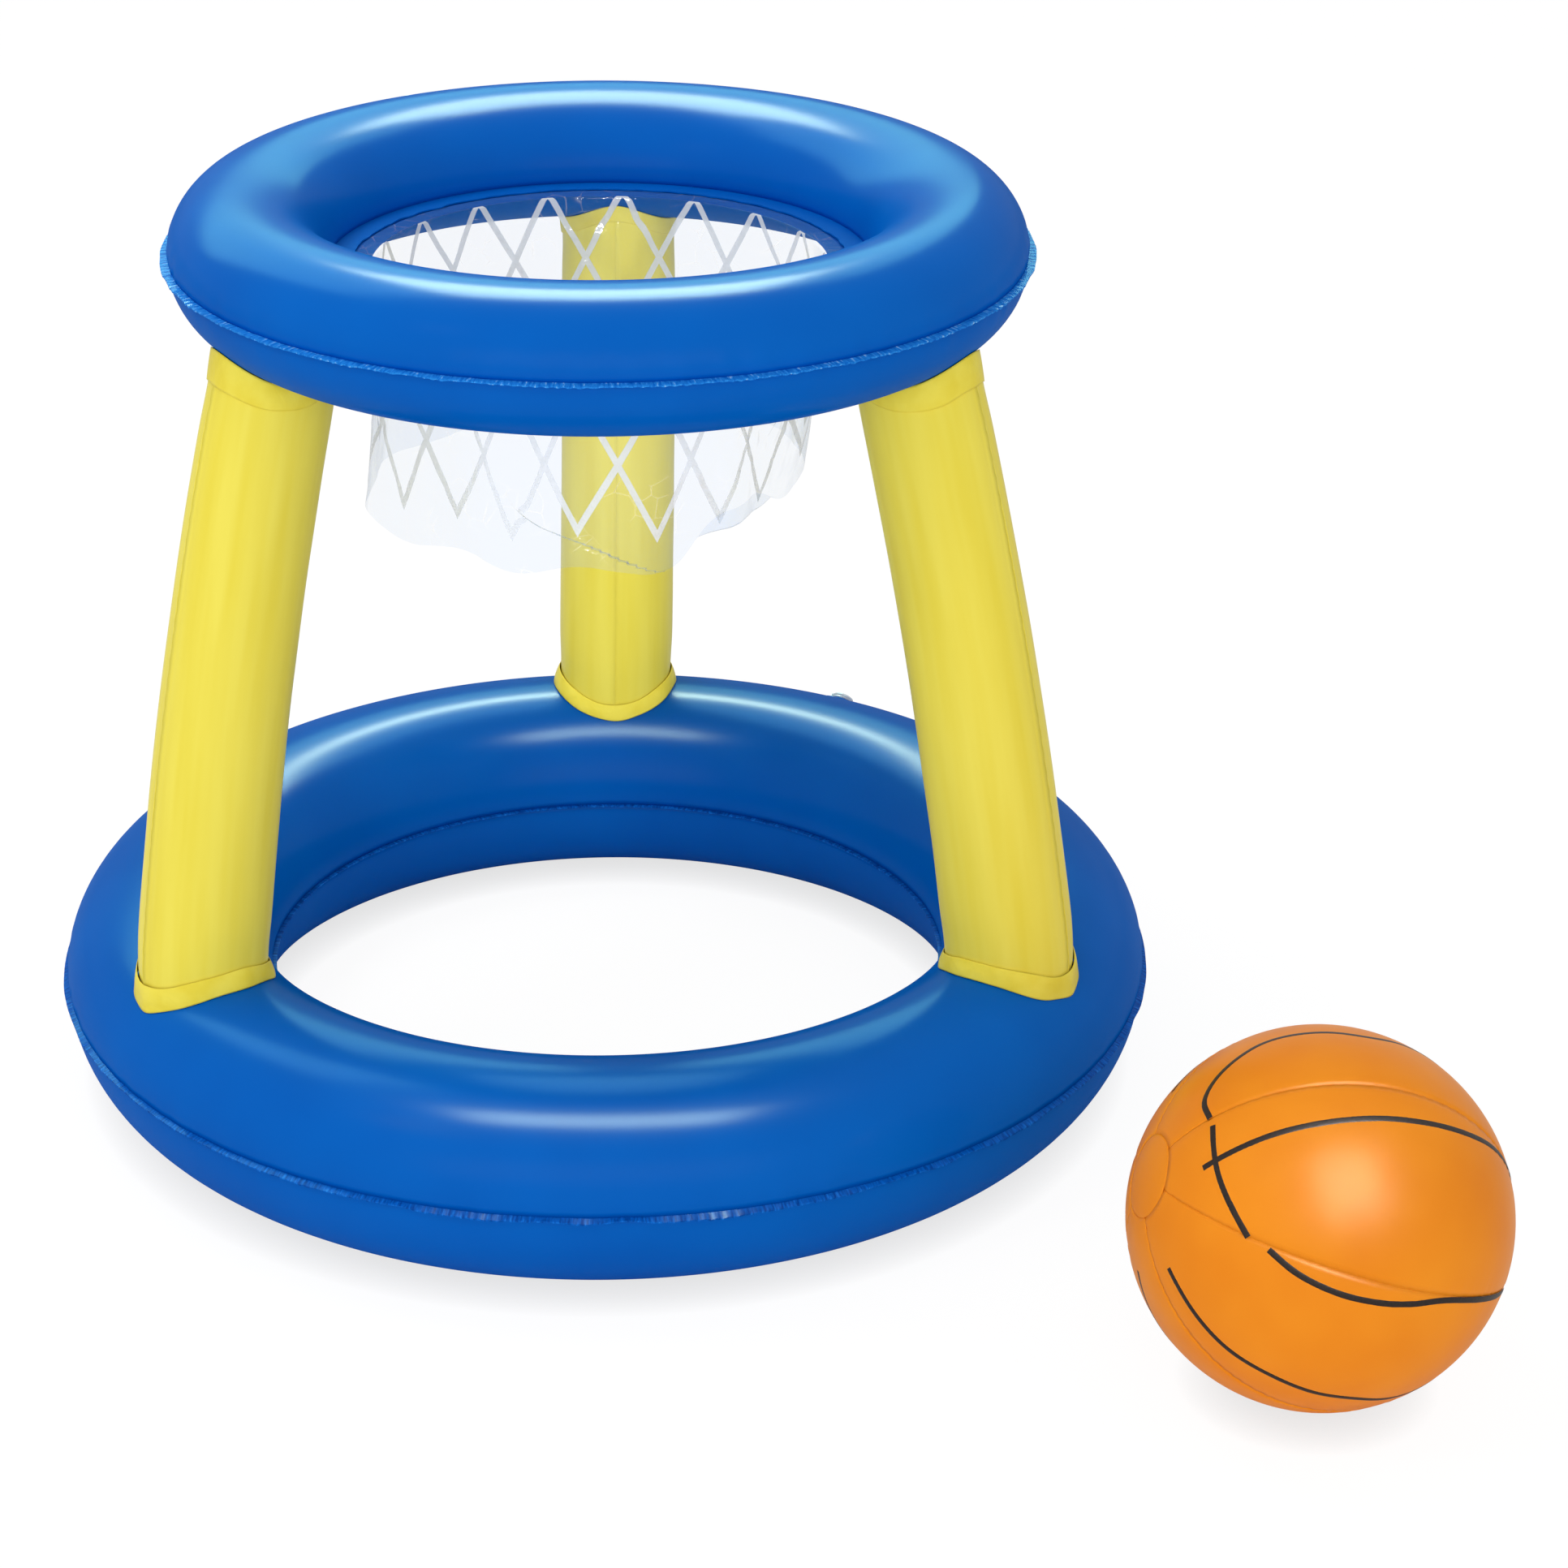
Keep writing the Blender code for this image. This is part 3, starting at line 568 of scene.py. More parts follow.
def legPanel(lean, firstTurn, node):
    rise, halfRound = leg["rise"], math.pi * leg["headRadius"]
    ends = {}

    def shape(u, v):
        turn = firstTurn + math.pi * u
        if u not in ends:
            ends[u] = [legEnd(lean, turn, 0, atFoot) for atFoot in (True, False)]
        low, high = ends[u]
        share = low + (high - low) * v
        fromFoot, fromHead = (share - low) * rise, (high - share) * rise
        waist = bell(fromFoot - leg["footWaist"], leg["waistLength"])
        waist += 0.6 * bell(fromHead - leg["headWaist"], leg["waistLength"])
        fromWeld = min(u, 1 - u) * halfRound
        ridge = leg["weldHeight"] * bell(fromWeld, leg["weldWidth"])
        ridge *= 1 + 0.25 * math.sin(share * rise / leg["hatch"])
        pull = leg["pull"] * bell(fromWeld, leg["pullWidth"])
        lumps = leg["lumps"] * noise.noise(Vector((u * 5 + lean[0], v * 6, firstTurn)))
        tuck = footTuck(turn, max(0.0, fromFoot)) - leg["pinch"] * math.exp(-fromFoot / leg["pinchLength"])
        return legPoint(lean, share, turn, ridge - leg["waist"] * waist - pull + lumps + tuck)

    mesh = mappedGrid(leg["turnSteps"], leg["rowSteps"], shape, halfRound, rise, legMiddle(lean))
    finishNode(node, mesh, yellow, "hoop", ringWall)


# The weld round each end of a leg: a soft band that swells out of the leg and stands on the ring
collar = {
    "footReach": 0.0036, "footOuterRise": 0.0125, "footInnerRise": 0.0070, "headReach": 0.0012,
    "headOuterRise": 0.0150, "headInnerRise": 0.0080, "crease": 0.0004, "waver": 0.0009,
    "turnSteps": 120, "bandSteps": 12, "swell": 1.6,
}


def legCollar(lean, atFoot, node):
    side = "foot" if atFoot else "head"
    bandReach, outerRise, innerRise = (collar[side + part] for part in ("Reach", "OuterRise", "InnerRise"))
    up = 1 if atFoot else -1
    edges = {}

    def shape(u, v):
        # v runs from the edge on the leg to the edge on the ring
        turn = math.tau * u
        if u not in edges:
            lumps = lumpsAt(turn, 2.2, lean[0] * 3)
            reach = bandReach * (1 + 0.35 * lumps)
            band = innerRise + (outerRise - innerRise) * (1 + math.cos(turn)) / 2 + collar["waver"] * lumps
            high = legEnd(lean, turn, 0, atFoot) + up * band / leg["rise"]
            end = footTuck(turn, 0) if atFoot else 0.0
            edges[u] = (high, legEnd(lean, turn, reach + end, atFoot), reach, band)
        high, low, reach, band = edges[u]
        grow = collar["crease"] + (reach - collar["crease"]) * (1 - (1 - v) ** collar["swell"])
        grow += footTuck(turn, band * (1 - v)) if atFoot else 0.0
        return legPoint(lean, high + (low - high) * v, turn, grow)

    wholeRound = math.tau * leg["footRadius"]
    mesh = mappedGrid(collar["turnSteps"], collar["bandSteps"], shape, wholeRound, outerRise, legMiddle(lean))
    finishNode(node, mesh, collarYellow, "hoop", ringWall)


for legName, (footDegrees, headDegrees, firstSide, secondSide) in legs.items():
    legLean = (math.radians(footDegrees), math.radians(headDegrees))
    for panelSide, panelTurn in ((firstSide, 0.0), (secondSide, math.pi)):
        legPanel(legLean, panelTurn, legName + "_" + panelSide + "_panel")
    for endName in ("foot", "head"):
        legCollar(legLean, endName == "foot", legName + "_" + endName + "_flange")
print("legs made")


# The net: a film sleeve that lies on the rim, turns over its edge, hangs, crumples and laps over itself
net = {
    "radius": 0.1152, "lipOuter": 0.1258, "lipLevel": 0.4495, "bendRadius": 0.0012, "flatWidth": 0.7239,
    "flatDrop": 0.1300, "waveDepth": 0.0022, "waves": 9, "waveAzimuth": -78, "growth": 1.5,
    "turnSteps": 560, "rowSteps": 96, "crumple": 0.0012, "crumpleSize": 0.022, "lipShare": 0.06,
    "turnedBy": 0.42, "lipFlat": 0.6,
}
# Round the sheet, by azimuth: the hem's height, how many degrees it is turned and how far it stands out
hem = [
    (-180, 0.3290, -4.5, 0.0060), (-165, 0.3250, -5, 0.0085), (-146, 0.3180, -5.5, 0.0010),
    (-123, 0.3277, -3, 0.0), (-104, 0.3201, -7.5, 0.0005), (-84, 0.3274, -10.4, 0.0010),
    (-65, 0.3204, -10.4, -0.0020), (-44, 0.3251, -12.4, -0.0060), (-26, 0.3275, -16, -0.0110),
    (0, 0.3400, -10, -0.0120), (30, 0.3380, -2, -0.0060), (60, 0.3280, 0, -0.0010), (90, 0.3190, 0, 0.0),
    (140, 0.3270, -2, 0.0010), (180, 0.3290, -4.5, 0.0060),
]
# The slanting pleat at the front, where the sheet laps over itself, and the hem turned up beside it
pleat = {"share": 0.66, "start": -107, "end": -63.5, "sweep": 1.85, "width": 0.0070, "lap": 0.0037, "depth": 0.0020}
turnUp = {"azimuth": -36, "halfWidth": 19, "share": 0.90, "stand": 0.0030, "fold": 1.9}
# Where the sheet is crushed: azimuth, share of its drop, their spreads and the depth
crushes = [(-160, 0.34, 13, 0.22, 0.0070), (-20, 0.38, 15, 0.26, 0.0070), (84, 0.09, 14, 0.09, 0.0055)]


def hemAt(degrees):
    for (first, *low), (second, *high) in zip(hem, hem[1:]):
        if degrees <= second:
            share = (degrees - first) / (second - first)
            share = share * share * (3 - 2 * share)
            return [a + (b - a) * share for a, b in zip(low, high)]


def netPoint(degrees, share):
    level, turned, reach = hemAt(degrees)
    swing = share ** net["growth"]
    wave = math.cos(net["waves"] * math.radians(degrees - net["waveAzimuth"]))
    turning = min(1.0, share / net["turnedBy"])
    azimuth = degrees + turned * turning * turning * (3 - 2 * turning)
    radius = net["radius"] + swing * (reach + net["waveDepth"] * wave)
    drop = share
    beside = math.exp(-((degrees - turnUp["azimuth"]) / turnUp["halfWidth"]) ** 4)
    if share > turnUp["share"]:
        over = (share - turnUp["share"]) / (1 - turnUp["share"])
        drop = turnUp["share"] + (share - turnUp["share"]) * (1 - turnUp["fold"] * beside)
        radius += turnUp["stand"] * beside * math.sin(over * math.pi / 2)
    height = net["lipLevel"] + (level - net["lipLevel"]) * drop
    place = Vector((math.cos(math.radians(degrees)), math.sin(math.radians(degrees)), height * 8))
    place *= net["radius"] / net["crumpleSize"]
    facets, small = noise.voronoi(place)[0], noise.voronoi(place * 1.9)[0]
    radius += net["crumple"] * min(1.0, share * 4) * (facets[1] - facets[0] - 0.25)
    for where, low, spread, fall, crush in crushes:
        depth = crush * math.exp(-((degrees - where) / spread) ** 2 - ((share - low) / fall) ** 2)
        radius += depth * min(1.0, share * 12) * (small[1] - small[0] - 0.3)
        azimuth += math.degrees(depth * 0.6 / radius) * noise.noise(place * 1.4)
    grown = (share - pleat["share"]) / (1 - pleat["share"])
    if grown > 0:
        crease = pleat["start"] + (pleat["end"] - pleat["start"]) * grown ** pleat["sweep"]
        across = math.radians(degrees - crease) * net["radius"] / pleat["width"]
        if abs(across) < 1:
            lap = math.sin(math.pi * across) * grown ** 0.5
            azimuth -= math.degrees(pleat["lap"] * lap / radius)
            radius += pleat["depth"] * lap
    return aboutHoop(radius, math.radians(azimuth), height)


def netLip(degrees, share):
    # from the sheet's edge on the rim to where it turns down inside it
    bend, level, flat = net["bendRadius"], net["lipLevel"], net["lipFlat"]
    if share < flat:
        radius = net["lipOuter"] + (net["radius"] + bend - net["lipOuter"]) * share / flat
    else:
        angle = (share - flat) / (1 - flat) * math.pi / 2
        radius, level = net["radius"] + bend * (1 - math.sin(angle)), level - bend * (1 - math.cos(angle))
    return aboutHoop(radius, math.radians(degrees), level)


def makeNet():
    lip, bend = net["lipShare"], net["bendRadius"] / net["flatDrop"]

    def shape(u, v):
        degrees = lattice["firstAzimuth"] + 360 * u
        if v <= lip:
            return netLip(degrees, v / lip)
        return netPoint((degrees + 180) % 360 - 180, bend + (v - lip) / (1 - lip) * (1 - bend))

    mesh = mappedGrid(net["turnSteps"], net["rowSteps"], shape, lattice["count"], 1.0,
                      lambda point: Vector((hoopAxis.x, hoopAxis.y, point.z)))
    # V becomes the height of the print on the sheet, running on over the lip
    layer = mesh.loops.layers.uv.active
    for face in mesh.faces:
        for loop in face.loops:
            v = loop[layer].uv.y
            across = net["lipOuter"] - net["radius"]
            above = across * (1 - v / lip) if v <= lip else -net["flatDrop"] * (v - lip) / (1 - lip)
            loop[layer].uv.y = net["lipLevel"] + above
    piece = finishPiece("netFilm", mesh, film, "hoop", ["net_sleeve"])


makeNet()
print("net made")


# The ball: six gores and two end caps. The pole is the front cap's azimuth and rise.
ball = {
    "centre": (0.27075, -0.27995, 0.0908), "radius": 0.0908, "pole": (186.6, 19.55),
    "gores": 6, "goreTurn": 12, "capDiameter": 0.040, "goreColumns": 28, "goreRows": 96,
    "pucker": 0.00035, "puckerLength": 0.007, "valley": 0.0003, "valleyWidth": 0.0015, "capLift": 0.00015,
    "capPull": 0.0004, "valveHole": 0.0052,
}
frontPole = directionOf(ball["pole"])
poleLevel = frontPole.cross(Vector((0, 0, 1))).normalized()
ballTurn = Matrix((poleLevel, frontPole.cross(poleLevel), frontPole)).transposed().to_4x4()
ballPlace = Matrix.Translation(ball["centre"]) @ ballTurn
capEdge = math.asin(ball["capDiameter"] / 2 / ball["radius"])


def ballPoint(polar, longitude, lift=0.0):
    radius = ball["radius"] + lift
    across = radius * math.sin(polar)
    return ballPlace @ Vector((across * math.cos(longitude), across * math.sin(longitude), radius * math.cos(polar)))


def ballMiddle(point):
    return Vector(ball["centre"])


def makeGore(index):
    width = math.tau / ball["gores"]

    def shape(u, v):
        polar = capEdge + (math.pi - 2 * capEdge) * v
        longitude = math.radians(ball["goreTurn"]) + width * (index + u)
        fromSeam = min(u, 1 - u) * width * ball["radius"] * math.sin(polar)
        wave = 0.5 + 0.5 * math.sin(polar * 90 + 3 * noise.noise(Vector((polar * 5, index, 0))))
        pull = ball["pucker"] * wave * bell(fromSeam, ball["puckerLength"])
        return ballPoint(polar, longitude, -pull - ball["valley"] * bell(fromSeam, ball["valleyWidth"]))

    mesh = mappedGrid(ball["goreColumns"], ball["goreRows"], shape, middleOf=ballMiddle)
    finishNode("ball_gore_" + str(index + 1), mesh, orange, "ball", ringWall)


def makeEndCap(atFront, node):
    first = 0.0 if atFront else math.asin(ball["valveHole"] / ball["radius"])

    def shape(u, v):
        polar = first + (capEdge - first) * v
        lift = ball["capLift"] - ball["capPull"] * v ** 6
        return ballPoint(polar if atFront else math.pi - polar, math.tau * u, lift)

    mesh = mappedGrid(64, 16, shape, middleOf=ballMiddle)
    finishNode(node, mesh, orange, "ball", ringWall)


for goreIndex in range(ball["gores"]):
    makeGore(goreIndex)
makeEndCap(True, "ball_front_cap")
makeEndCap(False, "ball_valve_end_cap")

# The printed lines of a plain basketball, as polar angle and longitude in the ball's own axes
ballLine = {"width": 0.0030, "height": 0.00012, "stepDegrees": 1.5}
ballLines = {
    "curved": [(29.5, -108.5), (29.2, -92.5), (35.5, -81.1), (46.8, -75.3), (56.4, -74.2), (71.1, -77.5),
               (84.8, -80.9), (99.2, -77.9), (120, -74), (148, -72)],
    "bridge": [(30.1, -114.4), (31.4, -138.6), (35.8, -152.7), (46.8, -168.3)],
    "front": [(27.2, -141.4), (31.3, -137), (48.2, -127), (64.1, -122.8), (80.3, -120), (93.6, -118.3),
              (109.8, -115.7), (125.4, -111.8), (148, -104)],
    "left": [(53.7, -169.5), (64.2, -173.4), (77.2, -174.6), (89.8, -173.7), (98.4, -172.2), (113, -169.2),
             (142.4, -169.4), (150, -170)],
    "upper": [(30, 147), (36.7, 146.2), (48.1, 144.9), (59.4, 144.8), (73.3, 146.4), (86.9, 146.7),
              (100.3, 147.2), (116.6, 144.3), (148, 140)],
    "rearFirst": zip(range(30, 151, 30), (102, 99, 100, 99, 101)),
    "rearSecond": zip(range(30, 151, 30), (56, 53, 52, 53, 56)),
    "rearThird": zip(range(30, 151, 30), (9, 7, 8, 9, 8)),
    "rearFourth": zip(range(30, 151, 30), (-38, -36, -34, -35, -38)),
}


def ballDirection(polar, longitude):
    polar, longitude = math.radians(polar), math.radians(longitude)
    return Vector((math.sin(polar) * math.cos(longitude), math.sin(polar) * math.sin(longitude), math.cos(polar)))


def smoothPath(stops, stepDegrees):
    # evenly spaced directions on a smooth curve through the stops
    knots = [ballDirection(*stop) for stop in stops]
    knots = [2 * knots[0] - knots[1]] + knots + [2 * knots[-1] - knots[-2]]
    path = []
    for first, second, third, fourth in zip(knots, knots[1:], knots[2:], knots[3:]):
        steps = max(2, round(math.degrees(second.angle(third)) / stepDegrees))
        for i in range(steps):
            t = i / steps
            point = second * 2 + (third - first) * t + (first * 2 - second * 5 + third * 4 - fourth) * t ** 2
            path.append((point + (second * 3 - first - third * 3 + fourth) * t ** 3).normalized())
    return path + [knots[-2]]


def printLine(name, stops):
    path = smoothPath(stops, ballLine["stepDegrees"])
    last = len(path) - 1

    def shape(u, v):
        index = min(last, round(v * last))
        along = (path[min(last, index + 1)] - path[max(0, index - 1)]).normalized()
        side = path[index].cross(along).normalized()
        spread = (u - 0.5) * ballLine["width"] * (1 + 0.05 * noise.noise(path[index] * 30))
        lift = ballLine["height"] * (1 - abs(2 * u - 1) ** 4)
        out = (path[index] * ball["radius"] + side * spread).normalized()
        return ballPlace @ (out * (ball["radius"] + lift - 0.00002))

    mesh = mappedGrid(6, last, shape, middleOf=ballMiddle)
    finishPiece("ballLine" + name.capitalize(), mesh, ink, "ball")


for lineName, lineStops in ballLines.items():
    printLine(lineName, lineStops)
print("ball made")


# The valves: a round flange on the skin, a stem with a lip, a plug cap on a strap and a check flap.
# In a valve's own axes the origin is on the skin, Z points out and X to the strap.
valve = {
    "bore": 0.0034, "stem": 0.0048, "clearance": 0.0004, "length": 0.0120, "lip": 0.0062, "lipLow": 0.0027,
    "lipHigh": 0.0039, "tabReach": 0.0069, "tabHalf": 23, "flange": 0.0120, "flangeHeight": 0.0008,
    "boss": 0.0070, "bossHeight": 0.0024, "capLow": 0.0042, "capHigh": 0.0054, "dome": 0.0005,
    "plug": 0.00295, "plugTaper": 0.0005, "plugEnd": 0.0009, "flap": 0.0044, "flapHigh": -0.0096,
    "flapThick": 0.0006, "round": 0.0002, "strapWidth": 0.0036, "strapWall": 0.0004, "steps": 64,
}
valvePlaces = {"base_ring": (baseRing, 60, 40), "top_ring": (topRing, 120, 35)}


def ballLevel(point):
    return (point - Vector(ball["centre"])).length / ball["radius"] - 1


def frameOn(level, point, sideways):
    steps = [Vector(axis) * 0.0001 for axis in ((1, 0, 0), (0, 1, 0), (0, 0, 1))]
    up = Vector([level(point + step) - level(point - step) for step in steps]).normalized()
    across = (sideways - up * sideways.dot(up)).normalized()
    return Matrix.Translation(point) @ Matrix((across, up.cross(across), up)).transposed().to_4x4()


def ringValveFrame(ring, azimuthDegrees, tubeDegrees):
    azimuth, angle = math.radians(azimuthDegrees), math.radians(tubeDegrees)
    centre, reach, height = ringQuarter(ring, True, True)
    radius = ring["crestRadius"] + reach * math.cos(angle)
    point = aboutHoop(radius, azimuth, centre + height * math.sin(angle))
    sideways = Vector((-math.sin(azimuth), math.cos(azimuth), 0))
    return frameOn(lambda place: ringLevel(ring, 0, place), point, sideways)


def valveFlange(place, level, material, body, node):
    back = place.inverted()
    small, bore = valve["round"], valve["stem"] + valve["clearance"]
    reach, rise, boss, top = (valve[key] for key in ("flange", "flangeHeight", "boss", "bossHeight"))
    # radii and heights, from the bore out over the skin and up to the boss
    section = [
        (bore, 0), (reach - small, 0), (reach, small), (reach, rise - small), (reach - 2 * small, rise),
        (boss + 5 * small, rise), (boss + 2 * small, rise + small), (boss, top - 3 * small),
        (boss - small, top - small), (boss - 3 * small, top), (bore + small, top), (bore, top - small), (bore, 0),
    ]
    last = len(section) - 1

    def shape(u, v):
        radius, height = section[round(v * last)]
        outward = Vector((math.cos(math.tau * u), math.sin(math.tau * u), 0)) * radius
        if height <= rise + small:  # counted from the skin
            path = lambda drop: place @ (outward - Vector((0, 0, drop)))
            height += (back @ path(meet(level, path, -0.01, 0.01))).z
        return place @ (outward + Vector((0, 0, height)))

    mesh = mappedGrid(valve["steps"], last, shape)
    sharpen(finishNode(node, mesh, material, body), 60)


def turnedPiece(place, section, body, node):
    # a closed section of radii and heights, the rims of which reach out to the tab
    last = len(section) - 1
    half, rim = math.radians(valve["tabHalf"]), valve["lip"] - valve["round"]

    def shape(u, v):
        radius, height = section[round(v * last)]
        signed = (math.tau * u + math.pi) % math.tau - math.pi
        if radius >= rim and abs(signed) <= half:
            radius = (valve["tabReach"] - (valve["lip"] - radius)) / math.cos(signed)
        return place @ Vector((radius * math.cos(signed), radius * math.sin(signed), height))

    mesh = mappedGrid(valve["steps"], last, shape)
    sharpen(finishNode(node, mesh, valvePvc, body), 50)


def strapPiece(name, place):
    # the soft strap, bent double from the lip's tab to the cap's
    low, high = (valve["lipLow"] + valve["lipHigh"]) / 2, (valve["capLow"] + valve["capHigh"]) / 2
    bend = (high - low) / 2

    def shape(u, v):
        angle = (v - 0.5) * math.pi
        across = valve["tabReach"] - valve["round"] + bend * math.cos(angle)
        return place @ Vector((across, (u - 0.5) * valve["strapWidth"], (low + high) / 2 + bend * math.sin(angle)))

    mesh = mappedGrid(8, 14, shape)
    bmesh.ops.solidify(mesh, geom=mesh.faces, thickness=valve["strapWall"])
    bmesh.ops.recalc_face_normals(mesh, faces=mesh.faces)
    strap = placeMesh(name, mesh, valvePvc)
    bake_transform(strap)
    sharpen(strap, 50)


def makeValve(prefix, place, level, material, body):
    names = ("round", "bore", "stem", "lip", "lipLow", "lipHigh", "plug", "plugEnd", "capLow", "capHigh", "flap")
    small, bore, stem, lip, lipLow, lipHigh, plug, plugEnd, capLow, capHigh, flap = (valve[key] for key in names)
    end, tip, top = lipLow - valve["length"], plug - valve["plugTaper"], capHigh + valve["dome"]
    flapHigh, flapLow = valve["flapHigh"], valve["flapHigh"] - valve["flapThick"]
    sections = {
        "stem": [
            (bore, lipHigh - small), (bore + small, lipHigh), (lip - small, lipHigh), (lip, lipHigh - small),
            (lip, lipLow + small), (lip - small, lipLow), (stem, lipLow), (stem, end), (bore, end),
            (bore, lipHigh - small)],
        "cap": [
            (0, plugEnd), (tip - small, plugEnd), (tip, plugEnd + small), (plug, capLow), (lip - small, capLow),
            (lip, capLow + small), (lip, capHigh - small), (lip - small, capHigh), (lip * 0.8, top), (0, top)],
        "flap": [
            (0, flapLow), (flap - small, flapLow), (flap, flapLow + small), (flap, flapHigh - small),
            (flap - small, flapHigh), (0, flapHigh)],
    }
    valveFlange(place, level, material, body, prefix + "_valve_flange")
    for part, section in sections.items():
        turnedPiece(place, section, prefix + "_" + part, prefix + "_valve_" + part)
    strapPiece(camelName(prefix + "_valve_strap"), place)


holes = {"steps": 32, "depth": 0.02, "portRadius": 0.0040}


def boreHoles(piece, posts):
    # cuts a round hole where each post stands, and keeps the cut shape
    mesh = bmesh.new()
    for place, radius in posts:
        bmesh.ops.create_cone(mesh, cap_ends=True, segments=holes["steps"], radius1=radius, radius2=radius,
                              depth=holes["depth"], matrix=place)
    posts = placeMesh("holePosts", mesh)
    cut = piece.modifiers.new("holes", "BOOLEAN")
    cut.operation, cut.solver, cut.object = "DIFFERENCE", "EXACT", posts
    bpy.context.view_layer.update()
    shaped = bpy.data.meshes.new_from_object(piece.evaluated_get(bpy.context.evaluated_depsgraph_get()))
    piece.modifiers.clear()
    piece.data = shaped
    bpy.data.objects.remove(posts)


stemHole = valve["stem"] + valve["clearance"]
for valvePrefix, (valveRing, azimuthDegrees, tubeDegrees) in valvePlaces.items():
    valveFrame = ringValveFrame(valveRing, azimuthDegrees, tubeDegrees)
    onRing = lambda point, ring=valveRing: ringLevel(ring, leg["seatGap"], point)
    makeValve(valvePrefix, valveFrame, onRing, blue, "hoop")
    posts = [(valveFrame, stemHole)]
    if valveRing is baseRing:
        for footDegrees, *_ in legs.values():
            foot = aboutHoop(baseRing["crestRadius"] + leg["footOffset"], math.radians(footDegrees), baseRing["top"])
            posts.append((Matrix.Translation(foot), holes["portRadius"]))
    boreHoles(baseUpper if valveRing is baseRing else topUpper, posts)
ballPole = (ballPlace.to_3x3() @ Vector((0, 0, -1))).normalized()
ballValvePlace = frameOn(ballLevel, Vector(ball["centre"]) + ballPole * ball["radius"], Vector((0, 0, 1)))
onBall = lambda point: ballLevel(point) - leg["seatGap"] / ball["radius"]
makeValve("ball", ballValvePlace, onBall, orange, "ball")
print("valves made")


# Floor, background and lamps. The world is 1 for the camera, for gloss and through clear film.
studio = {"surround": 0.60, "floorShade": "#F2F2F2", "floorGlow": 1.06, "glowShare": 0.88, "contact": 0.02,
          "contactShade": 0.22}
# Softboxes, for shade only and then for gloss only: the azimuth and rise of the line to each, its width and
# height and its power. Some have their own aim, distance, tint, pieces to light and way to face.
anyLamp = {"aim": (0, 0, 0.3), "distance": 2.2, "tint": (1, 1, 1)}
shadeLamps = {
    "overheadPanel": {"line": (150, 62), "size": (0.75, 0.75), "power": 9},
    "keyPanel": {"line": (-142, 45), "size": (0.4, 0.4), "power": 4},
    "frontFill": {"line": (-93, 16), "distance": 2.9, "size": (3.6, 1.2), "power": 27},
    "rearLegFill": {
        "aim": (0, 0.3, 0.3), "line": (-94, -2), "distance": 1.9, "size": (0.6, 0.35), "power": 8, "only": "back"},
    "rearHeadFill": {
        "aim": (-0.055, 0.25, 0.38), "line": (-92, 0), "distance": 0.26, "size": (0.12, 0.06), "power": 0.2,
        "only": "rearLeg"},
}
coolWhite, paleWhite = (0.30, 1.0, 0.87), (0.73, 1.0, 0.78)
glossLamps = {
    "sheenPanel": {"line": (108, 45), "size": (3.0, 2.0), "power": 250, "tint": coolWhite, "only": "blue"},
    "topSheen": {
        "aim": (0, 0, 0.4), "line": (95, 55), "size": (1.2, 0.95), "power": 310, "tint": paleWhite, "only": "top"},
    "baseSheen": {
        "aim": (-0.05, -0.2, 0.1), "line": (-95, 80), "size": (1.5, 0.5), "power": 190, "tint": paleWhite,
        "only": "base"},
    "baseRearSheen": {
        "aim": (-0.06, 0.33, 0.11), "line": (88, 52), "distance": 0.8, "facing": (90, -53), "size": (0.5, 0.3),
        "power": 110, "tint": paleWhite, "only": "base"},
    "filmGlint": {
        "aim": (-0.06, 0.1, 0.4), "line": (-92, 20), "distance": 2.4, "size": (0.5, 0.4), "power": 90,
        "only": "film"},
    "ballSheen": {
        "aim": ball["centre"], "line": (-77, 49), "distance": 1.5, "size": (1.0, 1.0), "power": 125, "only": "ball"},
}
# pieces to light, by how their names start
lampPieces = {
    "base": ("baseRing",), "top": ("topRing", "netRim"), "blue": ("baseRing", "topRing", "netRim"), "ball": ("ball",),
    "film": ("netFilm",), "rearLeg": ("rearLeg",), "back": ("rearLeg", "netFilm"),
}


def litPieces(name, starts):
    group = bpy.data.collections.new(name)
    for item in bpy.context.scene.objects:
        if item.type == "MESH" and item.name.startswith(starts):
            group.objects.link(item)
    return group


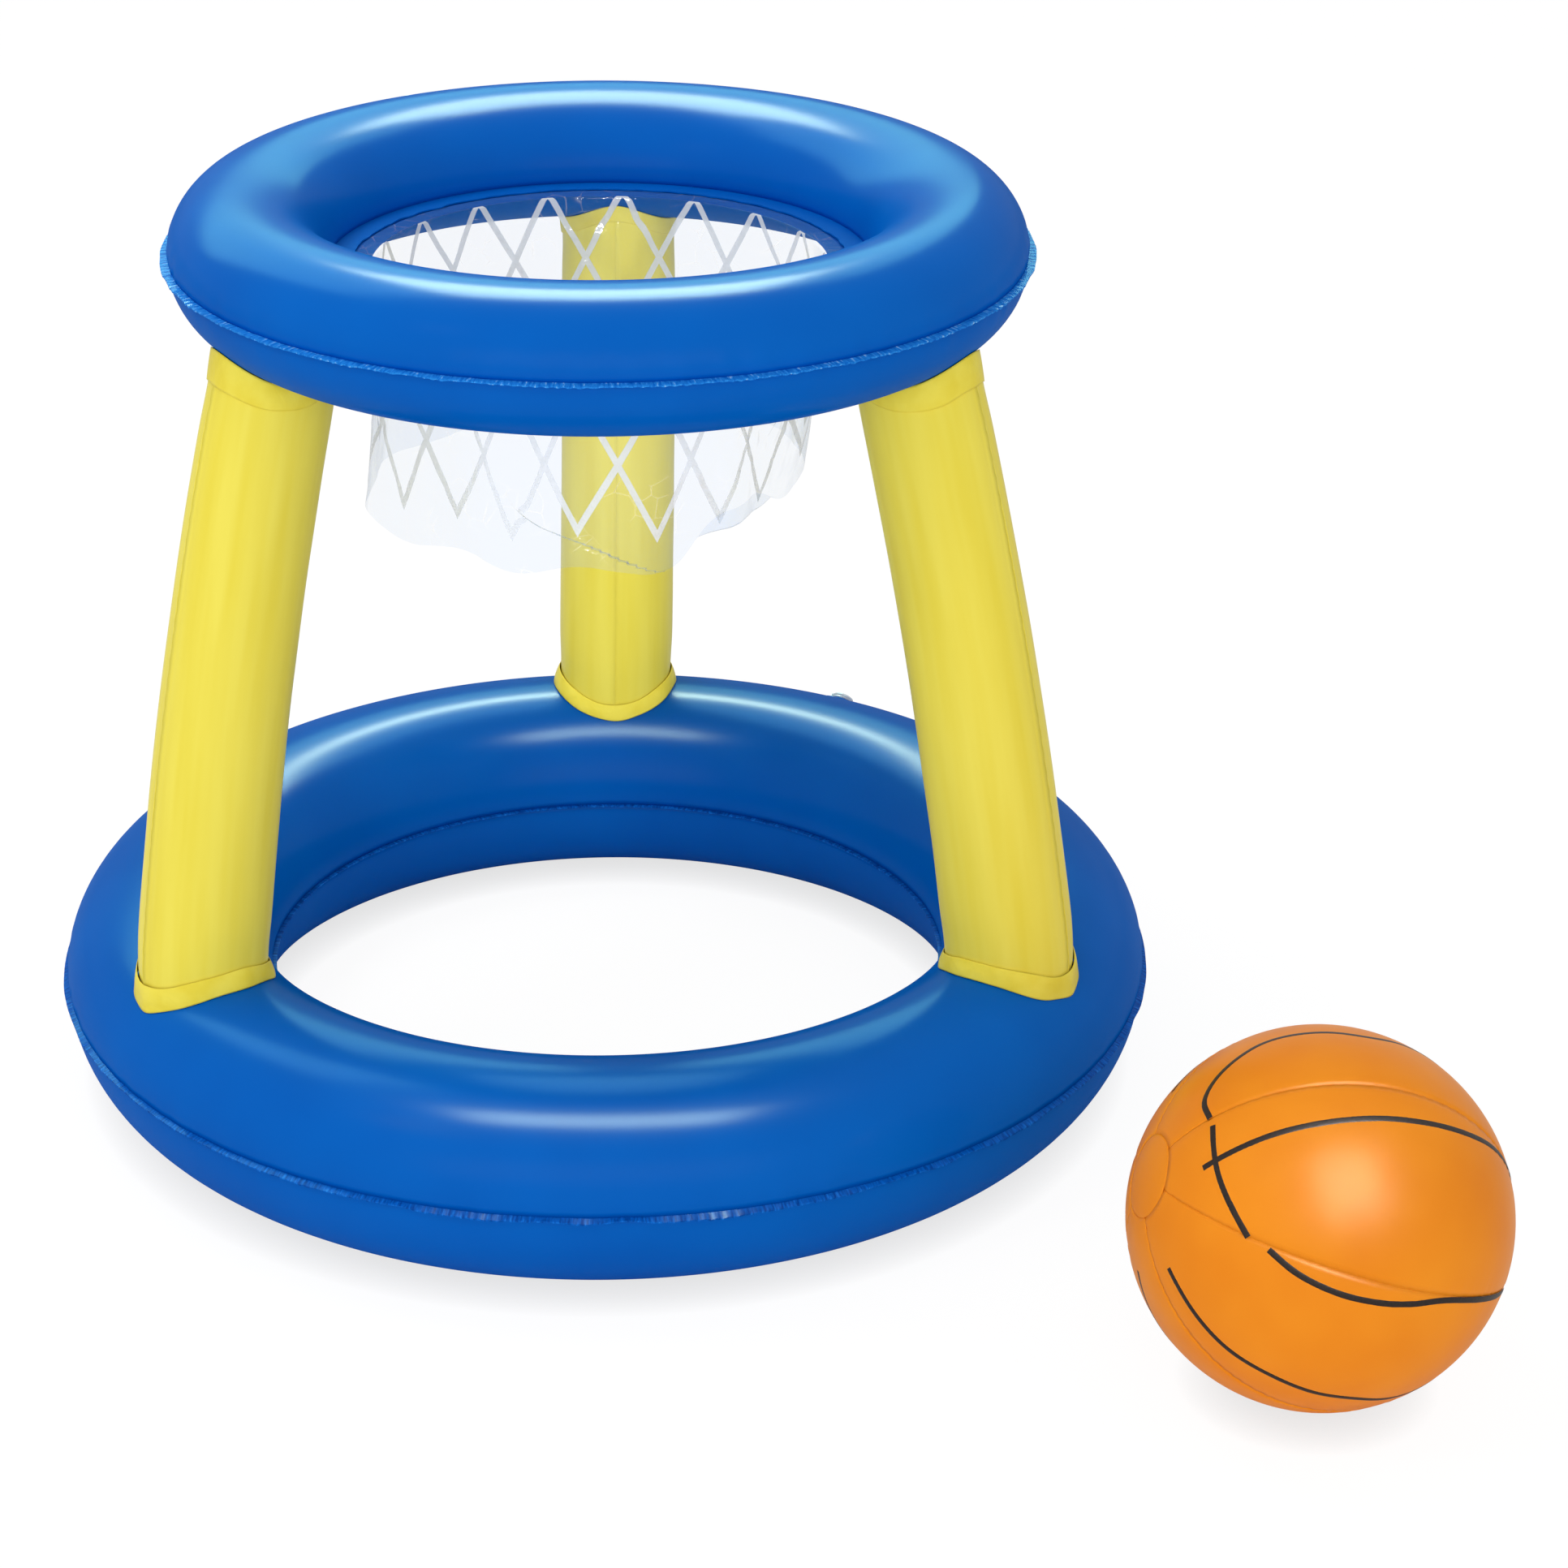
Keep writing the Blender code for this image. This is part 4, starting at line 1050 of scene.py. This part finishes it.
def addLamp(name, own, forShade, groups):
    values = {**anyLamp, **own}
    light = bpy.data.lights.new(name, "AREA")
    light.shape, light.energy, light.color = "RECTANGLE", values["power"], values["tint"]
    light.size, light.size_y = values["size"]
    item = bpy.data.objects.new(name, light)
    away = directionOf(values["line"])
    place = Matrix.Translation(Vector(values["aim"]) + away * values["distance"])
    if "facing" in values:  # a panel turned away from what it isn't to light
        away = -directionOf(values["facing"])
    item.matrix_world = place @ away.to_track_quat("Z", "Y").to_matrix().to_4x4()
    item.visible_diffuse, item.visible_glossy, item.visible_camera = forShade, not forShade, False
    if "only" in values:
        item.light_linking.receiver_collection = groups[values["only"]]
    bpy.context.scene.collection.objects.link(item)


def makeWorld(values):
    world = bpy.data.worlds.new("paleSurround")
    world.use_nodes = True
    bpy.context.scene.world = world
    rays = addNode(world, "ShaderNodeLightPath").outputs
    known = {kind: rays["Is " + kind + " Ray"] for kind in ("Camera", "Glossy", "Transmission")}
    level = workOut(world, known, [
        ("near", "MAXIMUM", "Camera", "Glossy"), ("any", "MAXIMUM", "near", "Transmission"),
        ("level", "MULTIPLY_ADD", "any", 1 - values["surround"], values["surround"])])
    setInputs(world, world.node_tree.nodes["Background"], {"Color": (1, 1, 1, 1), "Strength": level})


def makeFloor(values):
    # The camera sees the floor partly glowing, so that it stays white; the lit part keeps a soft real shadow, and
    # ambient occlusion dims the glow close to the object as a painted contact shadow.
    material, shader = newMaterial("paintedFloor", {
        "Roughness": 0.9, "Specular IOR Level": 0.0, "Base Color": hexToLinear(values["floorShade"])})
    # painted contact shadow: the glow is dimmed where ambient occlusion finds the object close by
    near = addNode(material, "ShaderNodeAmbientOcclusion", {
        "samples": 8, "Distance": values["contact"]}).outputs["AO"]
    seen = addNode(material, "ShaderNodeLightPath").outputs["Is Camera Ray"]
    shade, glow = values["contactShade"], values["floorGlow"]
    known = {"near": near, "seen": seen}
    share = workOut(material, known, [
        ("level", "MULTIPLY_ADD", "near", shade * glow, (1 - shade) * glow),
        ("share", "MULTIPLY", "seen", values["glowShare"])])
    light = addNode(material, "ShaderNodeEmission", {"Strength": known["level"]}).outputs[0]
    whole = addNode(material, "ShaderNodeMixShader", {0: share, 1: shader.outputs[0], 2: light}).outputs[0]
    setInputs(material, material.node_tree.nodes["Material Output"], {"Surface": whole})
    mesh = bmesh.new()
    bmesh.ops.create_grid(mesh, x_segments=1, y_segments=1, size=8)
    placeMesh("floor", mesh, material)


pieceGroups = {name: litPieces(name + "Pieces", starts) for name, starts in lampPieces.items()}
for lampName, lamp in {**shadeLamps, **glossLamps}.items():
    addLamp(lampName, lamp, lampName in shadeLamps, pieceGroups)
makeWorld(studio)
makeFloor(studio)
bpy.context.scene.view_settings.view_transform = "Standard"
print("studio made")
